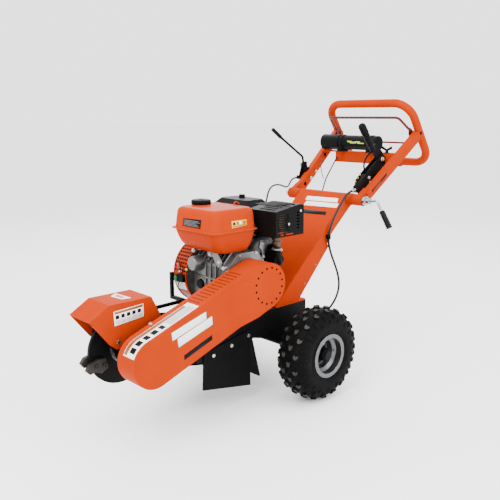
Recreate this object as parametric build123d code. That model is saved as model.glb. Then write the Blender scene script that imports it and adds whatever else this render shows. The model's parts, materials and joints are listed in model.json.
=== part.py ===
from build123d import *
import math
import os

# Walk-behind stump grinder. Millimetres, +Z up, -Y to the front (cutter), +X to the machine's left.
# Everything is laid out from a point on the ground under the middle of the axle, and at the end
# the whole machine is moved so that the origin is the bottom centre of its bounding box.

# ---------------------------------------------------------------- driving dimensions
WHEEL_RADIUS = 190.0
WHEEL_X = 296.0
BEAD_RADIUS = 76.0
RIM_HALF = 62.0
RIM_LIP = 3.5
RIM_FLANGE_RADIUS = 89.0
AXLE_RADIUS = 12.7
RUNNING_GAP = 0.1

DECK_TOP = 360.0
DECK_THICK = 6.0
DECK_HALF = 146.0
DECK_FRONT = -330.0
DECK_REAR = 92.0
SKIRT_FRONT = -500.0
PLATE = 6.0
FLAP_Y = -214.0
FLAP_THICK = 5.0

CUTTER_Y = -738.0
CUTTER_Z = 314.0
DISC_RADIUS = 127.0
DISC_THICK = 12.0
TOOTH_TIP_RADIUS = 152.0
TOOTH_COUNT = 3
FIRST_TOOTH = 205.0
FAR_TOOTH_LAG = 8.0
TOOTH_THICK = 16.0
SHAFT_RADIUS = 15.0
ARM_X = 56.0
ARM_PLATE = 8.0

CRANK_Y = -224.0
CRANK_Z = 496.0
CRANK_RADIUS = 12.5
GUARD_RADIUS = 87.0
GUARD_BACK_X = 122.0
GUARD_FRONT_X = 222.0
GUARD_REAR_X = 242.0
GUARD_SHEET = 2.5
BELT_X0 = 160.0
BELT_WIDTH = 36.0
CLUTCH_RADIUS = 58.0
CUTTER_PULLEY_RADIUS = 72.0
BELT_THICK = 8.0

HOOD_HALF = 68.0
HOOD_SHEET = 4.0

COLUMN_HALF = 136.0
COLUMN_SHEET = 5.0
PIVOT_Y = 382.0
PIVOT_Z = 765.5
PIVOT_RADIUS = 25.0
PIVOT_SHAFT_RADIUS = 12.0
PIVOT_HALF = 216.0

ARM_ANGLE = 38.7
ARM_LOWER_X = 197.0
ARM_UPPER_X = 238.0
ARM_WIDE = 30.0
ARM_DEEP = 42.0
ARM_WALL = 3.0
LOOP_TOP = (664.0, 1184.0)
LOOP_BOTTOM = (862.0, 907.0)
LOOP_HALF = 239.0
LOOP_CORNER = 84.0
LOOP_TUBE = 19.0
LOOP_WALL = 2.0
BAIL_PIVOT = (745.0, 1045.0)
BAIL_BAR = (640.0, 1119.0)
BAIL_HALF = 200.0
BAIL_ROD = 6.0
CLAMP_ROD = 6.0
BRAKE_PIVOT = (557.0, 936.0)
BRAKE_LEVER_X = 172.0
THROTTLE_PIVOT = (492.0, 892.0)
THROTTLE_X = -238.0
LEVER_PIN = 5.0
TUBE_RADIUS = 34.0
TUBE_END = 125.0
TUBE_MIDDLE = (602.0, 1003.0)

CYLINDER_TILT = 25.0
TANK_X = 10.0
TANK_Y = -294.0
TANK_HALF_X = 127.0
TANK_HALF_Y = 111.0
FILLER = (-66.0, -300.0)

guard_run = math.hypot(CRANK_Y - CUTTER_Y, CRANK_Z - CUTTER_Z)
guard_angle = math.degrees(math.atan2(CRANK_Z - CUTTER_Z, CRANK_Y - CUTTER_Y))


# ---------------------------------------------------------------- helpers
def slab(points, x0, x1):
    """A flat plate with its outline in the YZ plane, from x0 to x1."""
    outline = make_face(Polyline(*points, close=True))
    return extrude(Plane.YZ.offset(x0) * outline, amount=x1 - x0, dir=(1, 0, 0))


def block(x0, x1, y0, y1, z0, z1):
    """A plain box between two corners."""
    corner = (Align.MIN, Align.MIN, Align.MIN)
    return Pos(x0, y0, z0) * Box(x1 - x0, y1 - y0, z1 - z0, align=corner)


def drum(y, z, radius, x0, x1):
    """A cylinder along X."""
    lift = (Align.CENTER, Align.CENTER, Align.MIN)
    return Pos(x0, y, z) * Rot(0, 90, 0) * Cylinder(radius, x1 - x0, align=lift)


def stub(x, y, z0, z1, radius):
    """A cylinder along Z."""
    return Pos(x, y, z0) * Cylinder(radius, z1 - z0, align=(Align.CENTER, Align.CENTER, Align.MIN))


def ring(y, z, outer, inner, x0, x1):
    """A hollow cylinder along X."""
    return drum(y, z, outer, x0, x1) - drum(y, z, inner, x0 - 1, x1 + 1)


def rod(start, end, radius):
    """A round bar between two points."""
    run = Vector(*end) - Vector(*start)
    return Solid.make_cylinder(radius, run.length, Plane(origin=start, z_dir=run))


def hexagon(point, direction, across, height):
    """A hexagonal bolt head or nut standing on a point."""
    flat = RegularPolygon(across / 2, 6, major_radius=False)
    return extrude(Plane(origin=point, z_dir=direction) * flat, amount=height, dir=direction)


def bent_bar(points, radii, radius):
    """A round bar that follows straight runs joined by tangent arcs."""
    path = FilletPolyline(*points, radius=radii)
    return sweep(Plane(origin=path @ 0, z_dir=path % 0) * Circle(radius), path=path)


def corner_radii(points, share=0.45):
    """The arc for each inner corner: a share of the shorter run over the tangent of half the turn."""
    radii = []
    for before, corner, after in zip(points, points[1:], points[2:]):
        run_in = Vector(*corner) - Vector(*before)
        run_out = Vector(*after) - Vector(*corner)
        half_turn = math.radians(run_in.get_angle(run_out)) / 2
        radii.append(share * min(run_in.length, run_out.length) / math.tan(half_turn))
    return radii


def cable(name, points, radius):
    """A flexible cable along its route, with its arc radii and volume printed."""
    radii = corner_radii(points)
    path = FilletPolyline(*points, radius=radii)
    solid = bent_bar(points, radii, radius)
    straight = math.pi * radius**2 * path.length
    print(name, "length", round(path.length), "radii", [round(r) for r in radii])
    print(name, "volume", round(solid.volume), "section times length", round(straight))
    return solid


def both_sides(shape):
    """A shape and its mirror image across the centre plane."""
    return [shape, mirror(shape, about=Plane.YZ)]


def fuse(shapes):
    """All shapes joined into one."""
    whole = shapes[0]
    for shape in shapes[1:]:
        whole = whole + shape
    return whole


def group(shapes):
    """Separate solids kept apart in one node."""
    return Compound(children=[solid for shape in shapes for solid in shape.solids()])


def stadium(radius, x0, x1):
    """A round-ended plate around the cutter shaft and the crankshaft, from x0 to x1."""
    slope = math.radians(guard_angle)
    middle = (x0, (CUTTER_Y + CRANK_Y) / 2, (CUTTER_Z + CRANK_Z) / 2)
    along = Plane(origin=middle, x_dir=(0, math.cos(slope), math.sin(slope)), z_dir=(1, 0, 0))
    return extrude(along * SlotCenterToCenter(guard_run, 2 * radius), amount=x1 - x0, dir=(1, 0, 0))


def guard_point(along, across):
    """The (y, z) place at a distance along the belt line and across it."""
    slope = math.radians(guard_angle)
    y = CUTTER_Y + along * math.cos(slope) - across * math.sin(slope)
    z = CUTTER_Z + along * math.sin(slope) + across * math.cos(slope)
    return y, z


nodes = {}


# ---------------------------------------------------------------- base
def base_frame():
    """Welded black base: deck plate, two side skirts, a rear plate and the axle carrier tube."""
    deck_low = DECK_TOP - DECK_THICK
    deck = block(-DECK_HALF + PLATE, DECK_HALF - PLATE, DECK_FRONT, DECK_REAR - PLATE, deck_low, DECK_TOP)
    skirt_outline = [
        (DECK_REAR, DECK_TOP),
        (DECK_FRONT, DECK_TOP),
        (SKIRT_FRONT, 292),
        (SKIRT_FRONT, 232),
        (-458, 222),
        (-215, 262),
        (-140, 243),
        (-46, 196),
        (-30, 164),
        (30, 164),
        (60, 240),
        (DECK_REAR, 300),
    ]
    skirts = both_sides(slab(skirt_outline, DECK_HALF - PLATE, DECK_HALF))
    rear = block(-DECK_HALF + PLATE, DECK_HALF - PLATE, DECK_REAR - PLATE, DECK_REAR, 300, DECK_TOP)
    flap_bar = block(-DECK_HALF + PLATE, DECK_HALF - PLATE, FLAP_Y, FLAP_Y + PLATE, 268, deck_low)
    carrier = drum(0, WHEEL_RADIUS, 22, -DECK_HALF - 20, DECK_HALF + 20)
    frame = fuse([deck] + skirts + [rear, flap_bar, carrier])
    return frame - drum(0, WHEEL_RADIUS, AXLE_RADIUS, -300, 300)


def front_arm():
    """Twin arm plates that carry the cutter, joined by a chip wall and a tie tube."""
    outline = [
        (-276, DECK_TOP - DECK_THICK),
        (-345, DECK_TOP - DECK_THICK),
        (-590, 398),
        (-700, 400),
        (-806, 384),
        (-812, 356),
        (-786, 300),
        (CUTTER_Y, CUTTER_Z - 52),
        (-690, 262),
        (SKIRT_FRONT, 240),
        (-276, 262),
    ]
    plates = both_sides(slab(outline, ARM_X, ARM_X + ARM_PLATE))
    wall = block(-ARM_X, ARM_X, -566, -558, 250, 380)
    tie = drum(-400, 310, 20, -DECK_HALF + PLATE, DECK_HALF - PLATE)
    arm = fuse(plates + [wall, tie])
    return arm - drum(CUTTER_Y, CUTTER_Z, 24, -100, 100)


nodes["base_frame"] = base_frame()
nodes["front_arm"] = front_arm()


# ---------------------------------------------------------------- column and pivot
web_angle = math.atan2(788 - DECK_TOP - PLATE, 362 + 77)


def column():
    """Orange U channel: sloping web, tapering side flanges, foot plate and the pivot bush tube."""
    foot_top = DECK_TOP + PLATE
    inset = COLUMN_SHEET / math.sin(web_angle)
    web_outline = [(-77, foot_top), (-77 + inset, foot_top), (362 + inset, 788), (362, 788)]
    web = slab(web_outline, -COLUMN_HALF, COLUMN_HALF)
    flange_low = [(-77, foot_top), (54, foot_top), (240, 560)]
    flange_outline = flange_low + [(228, 590), (400, 740), (374, 788), (362, 788)]
    flanges = both_sides(slab(flange_outline, COLUMN_HALF - COLUMN_SHEET, COLUMN_HALF))
    lower_outline = [(-77, foot_top), (58, foot_top), (246, 570), (196, 626)]
    doublers = both_sides(slab(lower_outline, COLUMN_HALF, COLUMN_HALF + 2))
    foot = block(-DECK_HALF, DECK_HALF, -88, DECK_REAR, DECK_TOP, foot_top)
    bush = drum(PIVOT_Y, PIVOT_Z, PIVOT_RADIUS, -COLUMN_HALF - 12, COLUMN_HALF + 12)
    body = fuse([web] + flanges + doublers + [foot, bush])
    body = body - drum(PIVOT_Y, PIVOT_Z, PIVOT_SHAFT_RADIUS, -300, 300)
    for x in (-110, 110):
        for y in (20, 76):
            body = body - Pos(x, y, foot_top) * Cylinder(4.5, 3 * PLATE)
    return body


def pivot_shaft():
    """Threaded shaft through the pivot, with a nut on its right end."""
    shaft = drum(PIVOT_Y, PIVOT_Z, PIVOT_SHAFT_RADIUS, -PIVOT_HALF - 4, PIVOT_HALF + 2)
    nut = hexagon((-PIVOT_HALF - 4, PIVOT_Y, PIVOT_Z), (-1, 0, 0), 32, 12)
    return shaft + nut


nodes["column"] = column()
nodes["pivot_shaft"] = pivot_shaft()


# ---------------------------------------------------------------- wheels
def tyre():
    """Balloon tyre as a thick shell, open between its beads."""
    outer = [
        Line((52, BEAD_RADIUS), (58, BEAD_RADIUS)),
        Line((58, BEAD_RADIUS), (61, 92)),
        ThreePointArc((61, 92), (71, 128), (63, 162)),
        ThreePointArc((63, 162), (56, 175), (42, 183)),
        ThreePointArc((42, 183), (0, WHEEL_RADIUS), (-42, 183)),
        ThreePointArc((-42, 183), (-56, 175), (-63, 162)),
        ThreePointArc((-63, 162), (-71, 128), (-61, 92)),
        Line((-61, 92), (-58, BEAD_RADIUS)),
        Line((-58, BEAD_RADIUS), (-52, BEAD_RADIUS)),
    ]
    inner = [
        Line((-52, BEAD_RADIUS), (-55, 92)),
        ThreePointArc((-55, 92), (-62, 128), (-52, 158)),
        ThreePointArc((-52, 158), (0, WHEEL_RADIUS - 14), (52, 158)),
        ThreePointArc((52, 158), (62, 128), (55, 92)),
        Line((55, 92), (52, BEAD_RADIUS)),
    ]
    return revolve(make_face(Wire(outer + inner)), Axis.X, 360)


def rim():
    """Pressed steel rim with flanges, a drop centre, a dished disc and a hub with its bore."""
    end = RIM_HALF + RIM_LIP
    barrel = make_face(
        Polyline(
            (-end, RIM_FLANGE_RADIUS),
            (-RIM_HALF, RIM_FLANGE_RADIUS),
            (-RIM_HALF, BEAD_RADIUS),
            (-34, BEAD_RADIUS),
            (-26, 62),
            (26, 62),
            (34, BEAD_RADIUS),
            (RIM_HALF, BEAD_RADIUS),
            (RIM_HALF, RIM_FLANGE_RADIUS),
            (end, RIM_FLANGE_RADIUS),
            (end, BEAD_RADIUS - 3),
            (36, BEAD_RADIUS - 3),
            (28, 59),
            (-28, 59),
            (-36, BEAD_RADIUS - 3),
            (-end, BEAD_RADIUS - 3),
            close=True,
        )
    )
    disc = make_face(Polyline((-8, 60), (-4, 60), (4, 26), (4, 18), (0, 18), (0, 26), close=True))
    bore = AXLE_RADIUS + RUNNING_GAP
    hub = make_face(Polyline((-58, bore), (-58, 20), (50, 20), (50, bore), close=True))
    body = revolve(barrel, Axis.X, 360) + revolve(disc, Axis.X, 360) + revolve(hub, Axis.X, 360)
    valve = Pos(30, 68, 0) * Rot(0, 0, -60) * Rot(0, 90, 0) * Cylinder(5, 14)
    return body + valve


def place_wheel(shape, side):
    """A wheel part built about X, moved to its side with its outer face outwards."""
    turned = shape if side > 0 else mirror(shape, about=Plane.YZ)
    return Pos(side * WHEEL_X, 0, WHEEL_RADIUS) * turned


wheel_tyre = tyre()
wheel_rim = rim()
for side, name in ((1, "left"), (-1, "right")):
    nodes["tyre_" + name] = place_wheel(wheel_tyre, side)
    nodes["rim_" + name] = place_wheel(wheel_rim, side)

BRAKE_X = 196.0
HUB_IN = WHEEL_X - 58


def axle():
    """Fixed axle with a thrust washer and a capped nut at each end."""
    bar = drum(0, WHEEL_RADIUS, AXLE_RADIUS, -352, 352)
    caps = both_sides(drum(0, WHEEL_RADIUS, 19, WHEEL_X + 50.5, WHEEL_X + 58))
    return fuse([bar] + caps)


def brake_disc():
    """Brake disc with its collar, pressed up to the left wheel's hub."""
    plate = ring(0, WHEEL_RADIUS, 58, AXLE_RADIUS + RUNNING_GAP, BRAKE_X, BRAKE_X + 5)
    collar = ring(0, WHEEL_RADIUS, 22, AXLE_RADIUS + RUNNING_GAP, BRAKE_X + 5, HUB_IN)
    return plate + collar


def brake_caliper():
    """Cable brake caliper that straddles the disc, on an arm from the base."""
    body = block(BRAKE_X - 14, BRAKE_X + 19, 36, 74, 196, 246)
    slot = ring(0, WHEEL_RADIUS, 62, 1, BRAKE_X - 2, BRAKE_X + 7)
    arm = block(DECK_HALF, BRAKE_X - 14, 44, 66, 236, 246)
    lever = block(BRAKE_X - 30, BRAKE_X - 18, 40, 58, 246, 262)
    bridge = block(BRAKE_X - 30, BRAKE_X - 10, 40, 58, 236, 247)
    return fuse([body, arm, bridge, lever]) - slot


nodes["axle"] = axle()
nodes["brake_disc"] = brake_disc()
nodes["brake_caliper"] = brake_caliper()


# ---------------------------------------------------------------- belt guard
RAMP_START = 376.0
RAMP_END = 455.0
VENT_HOLES = 16
VENT_CIRCLE = 69.5
SLOT_ROWS = 13
SLOT_PITCH = 19.0
SLOTS_PER_ROW = 5


def guard_body(radius, x0, front_x, rear_x):
    """The guard's outside shape: shallow at the cutter, stepped out over the clutch."""
    body = stadium(radius, x0, rear_x)
    far = guard_run + 2 * radius
    slope = math.radians(guard_angle)
    side = Plane(
        origin=(0, CUTTER_Y, CUTTER_Z),
        x_dir=(0, math.cos(slope), math.sin(slope)),
        z_dir=(0, math.sin(slope), -math.cos(slope)),
    )
    over = rear_x + 9
    ramp = [(-far, front_x), (RAMP_START, front_x), (RAMP_END, rear_x), (RAMP_END, over), (-far, over)]
    cut = Polyline(*ramp, close=True)
    wedge = extrude(side * make_face(cut), amount=2 * radius, both=True)
    return body - wedge


def guard_cover():
    """Folded orange cover of the belt drive with a ring of vent holes and rows of slots on top."""
    outer = guard_body(GUARD_RADIUS, GUARD_BACK_X, GUARD_FRONT_X, GUARD_REAR_X)
    inner_radius = GUARD_RADIUS - GUARD_SHEET
    inner_front, inner_rear = GUARD_FRONT_X - GUARD_SHEET, GUARD_REAR_X - GUARD_SHEET
    inner = guard_body(inner_radius, GUARD_BACK_X - 1, inner_front, inner_rear)
    cover = outer - inner
    holes = []
    for index in range(VENT_HOLES):
        angle = 2 * math.pi * (index + 0.5) / VENT_HOLES
        y = CRANK_Y + VENT_CIRCLE * math.cos(angle)
        z = CRANK_Z + VENT_CIRCLE * math.sin(angle)
        holes.append(drum(y, z, 3.6, GUARD_REAR_X - 6, GUARD_REAR_X + 4))
    slope = guard_angle
    for row in range(SLOT_ROWS):
        y, z = guard_point(232 + row * SLOT_PITCH, GUARD_RADIUS)
        for column_index in range(SLOTS_PER_ROW):
            x = 142 + column_index * 13
            holes.append(Pos(x, y, z) * Rot(slope, 0, 0) * Box(8, 3, 10))
    return cover - holes


def guard_back():
    """Back plate of the belt guard with its shaft holes and two stand-off posts to the arm."""
    plate = stadium(GUARD_RADIUS - GUARD_SHEET - 0.5, GUARD_BACK_X, GUARD_BACK_X + 4)
    plate = plate - drum(CUTTER_Y, CUTTER_Z, 30, 100, 140)
    plate = plate - drum(CRANK_Y, CRANK_Z, 24, 100, 140)
    for along, start in ((130, HOOD_HALF), (200, ARM_X + ARM_PLATE)):
        y, z = guard_point(along, -12)
        plate = plate + drum(y, z, 9, start, GUARD_BACK_X)
    return plate


nodes["guard_cover"] = guard_cover()
nodes["guard_back"] = guard_back()


# ---------------------------------------------------------------- belt drive and cutter
def pulley(y, z, radius, bore, hub_radius, x0, x1):
    """A flat-rimmed belt pulley with two flanges, a thin web and a hub."""
    body = ring(y, z, radius, radius - 7, x0, x1)
    flanges = ring(y, z, radius + 5, radius - 7, x0 - 3, x0) + ring(y, z, radius + 5, radius - 7, x1, x1 + 3)
    web = ring(y, z, radius - 6.5, bore, (x0 + x1) / 2 - 5, (x0 + x1) / 2 + 5)
    hub = ring(y, z, hub_radius, bore, x0 - 3, x1 + 3)
    return fuse([body, flanges, web, hub])


def drive_belt():
    """Closed triple V belt that runs round both pulleys."""
    gap = 0.3
    small = CLUTCH_RADIUS + gap
    large = CUTTER_PULLEY_RADIUS + gap
    lean = math.asin((large - small) / guard_run)
    slope = math.radians(guard_angle)

    def outline(extra):
        points = []
        for sign in (1, -1):
            angle = slope + sign * (math.pi / 2 + lean)
            points.append([math.cos(angle), math.sin(angle)])
        (up_y, up_z), (down_y, down_z) = points
        a, b = large + extra, small + extra
        back = slope + math.pi
        lines = [
            Line(
                (CUTTER_Y + a * up_y, CUTTER_Z + a * up_z),
                (CRANK_Y + b * up_y, CRANK_Z + b * up_z),
            ),
            ThreePointArc(
                (CRANK_Y + b * up_y, CRANK_Z + b * up_z),
                (CRANK_Y + b * math.cos(slope), CRANK_Z + b * math.sin(slope)),
                (CRANK_Y + b * down_y, CRANK_Z + b * down_z),
            ),
            Line(
                (CRANK_Y + b * down_y, CRANK_Z + b * down_z),
                (CUTTER_Y + a * down_y, CUTTER_Z + a * down_z),
            ),
            ThreePointArc(
                (CUTTER_Y + a * down_y, CUTTER_Z + a * down_z),
                (CUTTER_Y + a * math.cos(back), CUTTER_Z + a * math.sin(back)),
                (CUTTER_Y + a * up_y, CUTTER_Z + a * up_z),
            ),
        ]
        return make_face(Wire(lines))

    x0, x1 = BELT_X0 + 0.5, BELT_X0 + BELT_WIDTH - 0.5
    face = Plane.YZ.offset(x0) * (outline(BELT_THICK) - outline(0))
    return extrude(face, amount=x1 - x0, dir=(1, 0, 0))


def cutter_shaft():
    """Cutter shaft with a shoulder on each side of the disc and a keyed end for its pulley."""
    shaft = drum(CUTTER_Y, CUTTER_Z, SHAFT_RADIUS, -112, BELT_X0 + BELT_WIDTH + 12)
    half = DISC_THICK / 2
    hubs = both_sides(drum(CUTTER_Y, CUTTER_Z, 45, half, half + 14))
    return fuse([shaft] + hubs)


def cutter_disc():
    """Thick steel disc with three tooth pockets bolted between the shaft's hubs."""
    half = DISC_THICK / 2
    disc = ring(CUTTER_Y, CUTTER_Z, DISC_RADIUS, SHAFT_RADIUS, -half, half)
    for index in range(TOOTH_COUNT):
        angle = math.radians(FIRST_TOOTH + 360 * index / TOOTH_COUNT)
        y = CUTTER_Y + 138 * math.cos(angle)
        z = CUTTER_Z + 138 * math.sin(angle)
        disc = disc - drum(y, z, 16, -half - 1, half + 1)
    return disc


def tooth_outline(angle):
    """The side view of one tooth: a curved arm with a beak that passes the disc's rim."""
    arm = [(126, 2), (108, 22), (78, 20), (70, -16), (96, -30)]
    beak = [(132, -34), (TOOTH_TIP_RADIUS, -20), (146, -2)]
    turn = math.radians(angle)
    points = []
    for radial, across in arm + beak:
        y = CUTTER_Y + radial * math.cos(turn) - across * math.sin(turn)
        z = CUTTER_Z + radial * math.sin(turn) + across * math.cos(turn)
        points.append((y, z))
    return points


def tooth_places():
    """The side and angle of each tooth: the far ones lag a little behind the near ones."""
    places = []
    for index in range(TOOTH_COUNT):
        angle = FIRST_TOOTH + 360 * index / TOOTH_COUNT
        places.append((1, angle))
        places.append((-1, angle - FAR_TOOTH_LAG))
    return places


def on_side(side, x0, x1):
    """The X range of a feature on the near (+1) or far (-1) side of the disc."""
    return (x0, x1) if side > 0 else (-x1, -x0)


def cutter_teeth():
    """A tooth on each face of the disc at every pocket, six separate pieces."""
    half = DISC_THICK / 2
    teeth = []
    for side, angle in tooth_places():
        teeth.append(slab(tooth_outline(angle), *on_side(side, half, half + TOOTH_THICK)))
    return group(teeth)


def tooth_bolts():
    """Two socket screws through each tooth into the disc, heads outwards."""
    face = DISC_THICK / 2 + TOOTH_THICK
    bolts = []
    for side, angle in tooth_places():
        turn = math.radians(angle)
        for radial, across in ((84, 4), (112, -12)):
            y = CUTTER_Y + radial * math.cos(turn) - across * math.sin(turn)
            z = CUTTER_Z + radial * math.sin(turn) + across * math.cos(turn)
            head = drum(y, z, 8, *on_side(side, face, face + 6))
            bolts.append(head - drum(y, z, 4, *on_side(side, face + 2, face + 7)))
    return group(bolts)


def cutter_bearings():
    """Two flange bearing housings bolted to the outside of the arm plates."""
    x0 = ARM_X + ARM_PLATE
    flange = drum(CUTTER_Y, CUTTER_Z, 44, x0, x0 + 10)
    nose = drum(CUTTER_Y, CUTTER_Z, 32, x0 + 10, x0 + 30)
    housing = (flange + nose) - drum(CUTTER_Y, CUTTER_Z, SHAFT_RADIUS + RUNNING_GAP, x0 - 1, x0 + 31)
    for index in range(4):
        angle = math.radians(45 + 90 * index)
        y = CUTTER_Y + 37 * math.cos(angle)
        z = CUTTER_Z + 37 * math.sin(angle)
        housing = housing + hexagon((x0 + 10, y, z), (1, 0, 0), 10, 6)
    return group(both_sides(housing))


nodes["drive_belt"] = drive_belt()
nodes["cutter_shaft"] = cutter_shaft()
nodes["cutter_disc"] = cutter_disc()
nodes["cutter_teeth"] = cutter_teeth()
nodes["tooth_bolts"] = tooth_bolts()
nodes["cutter_bearings"] = cutter_bearings()
nodes["cutter_pulley"] = pulley(
    CUTTER_Y, CUTTER_Z, CUTTER_PULLEY_RADIUS, SHAFT_RADIUS, 28, BELT_X0, BELT_X0 + BELT_WIDTH
)
nodes["clutch_drum"] = pulley(
    CRANK_Y, CRANK_Z, CLUTCH_RADIUS, CRANK_RADIUS + RUNNING_GAP, 26, BELT_X0, BELT_X0 + BELT_WIDTH
)


# ---------------------------------------------------------------- hood, flaps and guard bar
def hood():
    """Faceted sheet hood over the cutter, open below and in front."""
    outer = [(-891, 455), (-814, 500), (-642, 499), (-574, 368), (-600, 336), (-791, 339), (-817, 360)]
    inner = [(-930, 428), (-813, 496), (-644.5, 495), (-570, 351), (-570, 250), (-930, 250)]
    shell = slab(outer, -HOOD_HALF, HOOD_HALF)
    shell = shell - slab(inner, -HOOD_HALF + HOOD_SHEET, HOOD_HALF - HOOD_SHEET)
    return shell - drum(CUTTER_Y, CUTTER_Z, 46, -100, 100) - nodes["front_arm"]


def side_flap():
    """Rubber skirt that hangs from the base's side."""
    return slab([(-480, 120), (-237, 72), (-237, 306), (-474, 262)], DECK_HALF, DECK_HALF + 5)


def rear_flap():
    """Rubber skirt across the base behind the cutter, leaning back at its foot."""
    front = FLAP_Y - FLAP_THICK
    outline = [(FLAP_Y, 340), (front, 340), (front, 258), (-175, 88), (-170, 89.5), (FLAP_Y, 260)]
    return slab(outline, -DECK_HALF + PLATE + 2, DECK_HALF - PLATE - 2)


def guard_bar():
    """Bent flat bar that ties the hood to the base and guards the engine's fan cover."""
    x0, x1 = -HOOD_HALF - 22, -HOOD_HALF - 14
    outline = [(-604, 392), (-372, 394), (-372, 408), (-604, 406)]
    stay = slab(outline, x0, x1)
    lug = block(-HOOD_HALF - 14, -HOOD_HALF, -604, -584, 392, 406)
    link = block(-171, x1, -386, -372, 394, 408)
    upright = block(-171, -159, -386, -372, 394, 505)
    foot = block(x0, x1, -372, DECK_FRONT, 394, 400)
    leg = block(x0, x1, DECK_FRONT - 6, DECK_FRONT, DECK_TOP - DECK_THICK, 394)
    return fuse([stay, lug, link, upright, foot, leg])


nodes["cutter_hood"] = hood()
nodes["side_flaps"] = group(both_sides(side_flap()))
nodes["rear_flap"] = rear_flap()
nodes["guard_bar"] = guard_bar()


# ---------------------------------------------------------------- engine
CASE_X0 = -95.0
CASE_X1 = 108.0
CASE_FRONT = -318.0
BELL_RADIUS = 128.0
FOOT_THICK = 14.0
GRIP_X = -190.0
tilt = math.radians(CYLINDER_TILT)
cylinder_line = (0.0, math.cos(tilt), math.sin(tilt))
cylinder_up = (0.0, -math.sin(tilt), math.cos(tilt))


def cylinder_plane(distance):
    """The plane across the cylinder at a distance from the crankshaft."""
    origin = (10, CRANK_Y + distance * cylinder_line[1], CRANK_Z + distance * cylinder_line[2])
    return Plane(origin=origin, x_dir=(1, 0, 0), z_dir=cylinder_line)


def crankcase():
    """Cast crankcase with its foot rails and the round bell behind the flywheel, hollow inside."""
    low = DECK_TOP
    outline = [
        (-328, low),
        (-112, low),
        (-112, low + FOOT_THICK),
        (-128, low + FOOT_THICK),
        (-128, 560),
        (-168, 606),
        (-272, 606),
        (CASE_FRONT, 560),
        (CASE_FRONT, low + FOOT_THICK),
        (-328, low + FOOT_THICK),
    ]
    body = slab(outline, CASE_X0, CASE_X1)
    front = CASE_FRONT + 8
    inner = [(-136, low + 26), (-136, 556), (-172, 597), (-268, 597), (front, 556), (front, low + 26)]
    body = body - slab(inner, CASE_X0 + 8, CASE_X1 + 1)
    body = body + drum(CRANK_Y, CRANK_Z, BELL_RADIUS, CASE_X0 - 10, CASE_X0)
    return body - drum(CRANK_Y, CRANK_Z, 20, CASE_X0 - 11, CASE_X1)


def crankcase_cover():
    """Power take-off side cover with a boss around the crankshaft."""
    outline = [(-128, 376), (-128, 560), (-168, 606), (-272, 606), (CASE_FRONT, 560), (CASE_FRONT, 376)]
    cover = slab(outline, CASE_X1, CASE_X1 + 8)
    boss = drum(CRANK_Y, CRANK_Z, 54, CASE_X1 + 8, GUARD_BACK_X)
    cover = cover + boss
    return cover - drum(CRANK_Y, CRANK_Z, CRANK_RADIUS + 5, CASE_X1 - 1, GUARD_BACK_X + 1)


def crankshaft():
    """Crankshaft with a throw inside the case and its straight output end."""
    shaft = drum(CRANK_Y, CRANK_Z, CRANK_RADIUS, -160, GUARD_REAR_X - 30)
    webs = [drum(CRANK_Y, CRANK_Z, 44, x, x + 14) for x in (-20, 26)]
    return fuse([shaft] + webs)


def flywheel():
    """Cast flywheel with cooling blades, on the recoil end of the crankshaft."""
    disc = ring(CRANK_Y, CRANK_Z, 108, CRANK_RADIUS, -128, -114)
    blades = []
    for index in range(16):
        turn = 22.5 * index
        blade = Box(20, 26, 4)
        blades.append(Pos(-138, CRANK_Y, CRANK_Z) * Rot(turn, 0, 0) * Pos(0, 92, 0) * blade)
    return fuse([disc] + blades)


def cylinder():
    """Finned cylinder and head, leaning back over the deck."""
    barrel = extrude(cylinder_plane(112) * RectangleRounded(108, 112, 16), amount=128, dir=cylinder_line)
    fins = []
    for index in range(9):
        plane = cylinder_plane(122 + 13 * index)
        fins.append(extrude(plane * RectangleRounded(146, 138, 18), amount=4, dir=cylinder_line))
    body = fuse([barrel] + fins)
    bore = extrude(cylinder_plane(111) * Circle(44), amount=100, dir=cylinder_line)
    keep_off = block(CASE_X0 - 60, CASE_X1 + 60, -400, -128, 300, 620)
    return body - bore - keep_off


def valve_cover():
    """Pressed valve cover on the end of the head."""
    plate = extrude(cylinder_plane(240) * RectangleRounded(96, 104, 16), amount=6, dir=cylinder_line)
    dome = extrude(cylinder_plane(246) * RectangleRounded(84, 92, 16), amount=18, dir=cylinder_line)
    return plate + dome


def cylinder_shroud():
    """Bent sheet shroud that leads the fan's air over the fins."""
    outer = extrude(cylinder_plane(124) * RectangleRounded(160, 158, 22), amount=96, dir=cylinder_line)
    inner = extrude(cylinder_plane(120) * RectangleRounded(156, 154, 20), amount=110, dir=cylinder_line)
    window = Pos(40, -20) * Rectangle(160, 130)
    open_side = extrude(cylinder_plane(100) * window, amount=160, dir=cylinder_line)
    keep_off = block(CASE_X0 - 60, CASE_X1 + 60, -400, -126, 300, 640)
    return outer - inner - open_side - keep_off


def fan_housing():
    """Orange blower housing around the flywheel."""
    shell = drum(CRANK_Y, CRANK_Z, 134, -176, CASE_X0 - 1)
    shell = shell - drum(CRANK_Y, CRANK_Z, 131, -173, CASE_X0)
    shell = shell - drum(CRANK_Y, CRANK_Z, 84, -180, -170)
    return shell


def recoil_cover():
    """Orange recoil starter cover with rings of cooling slots."""
    shell = drum(CRANK_Y, CRANK_Z, 112, -206, -176)
    shell = shell - drum(CRANK_Y, CRANK_Z, 109, -203, -170)
    slots = []
    for radius, count in ((52, 14), (74, 20), (96, 26)):
        for index in range(count):
            turn = 360 * index / count
            slots.append(Pos(-205, CRANK_Y, CRANK_Z) * Rot(turn, 0, 0) * Pos(0, radius, 0) * Box(12, 14, 5))
    rope_hole = Pos(GRIP_X, CRANK_Y + 80, CRANK_Z + 80) * Rot(-45, 0, 0) * Cylinder(5, 70)
    return shell - slots - rope_hole


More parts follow.
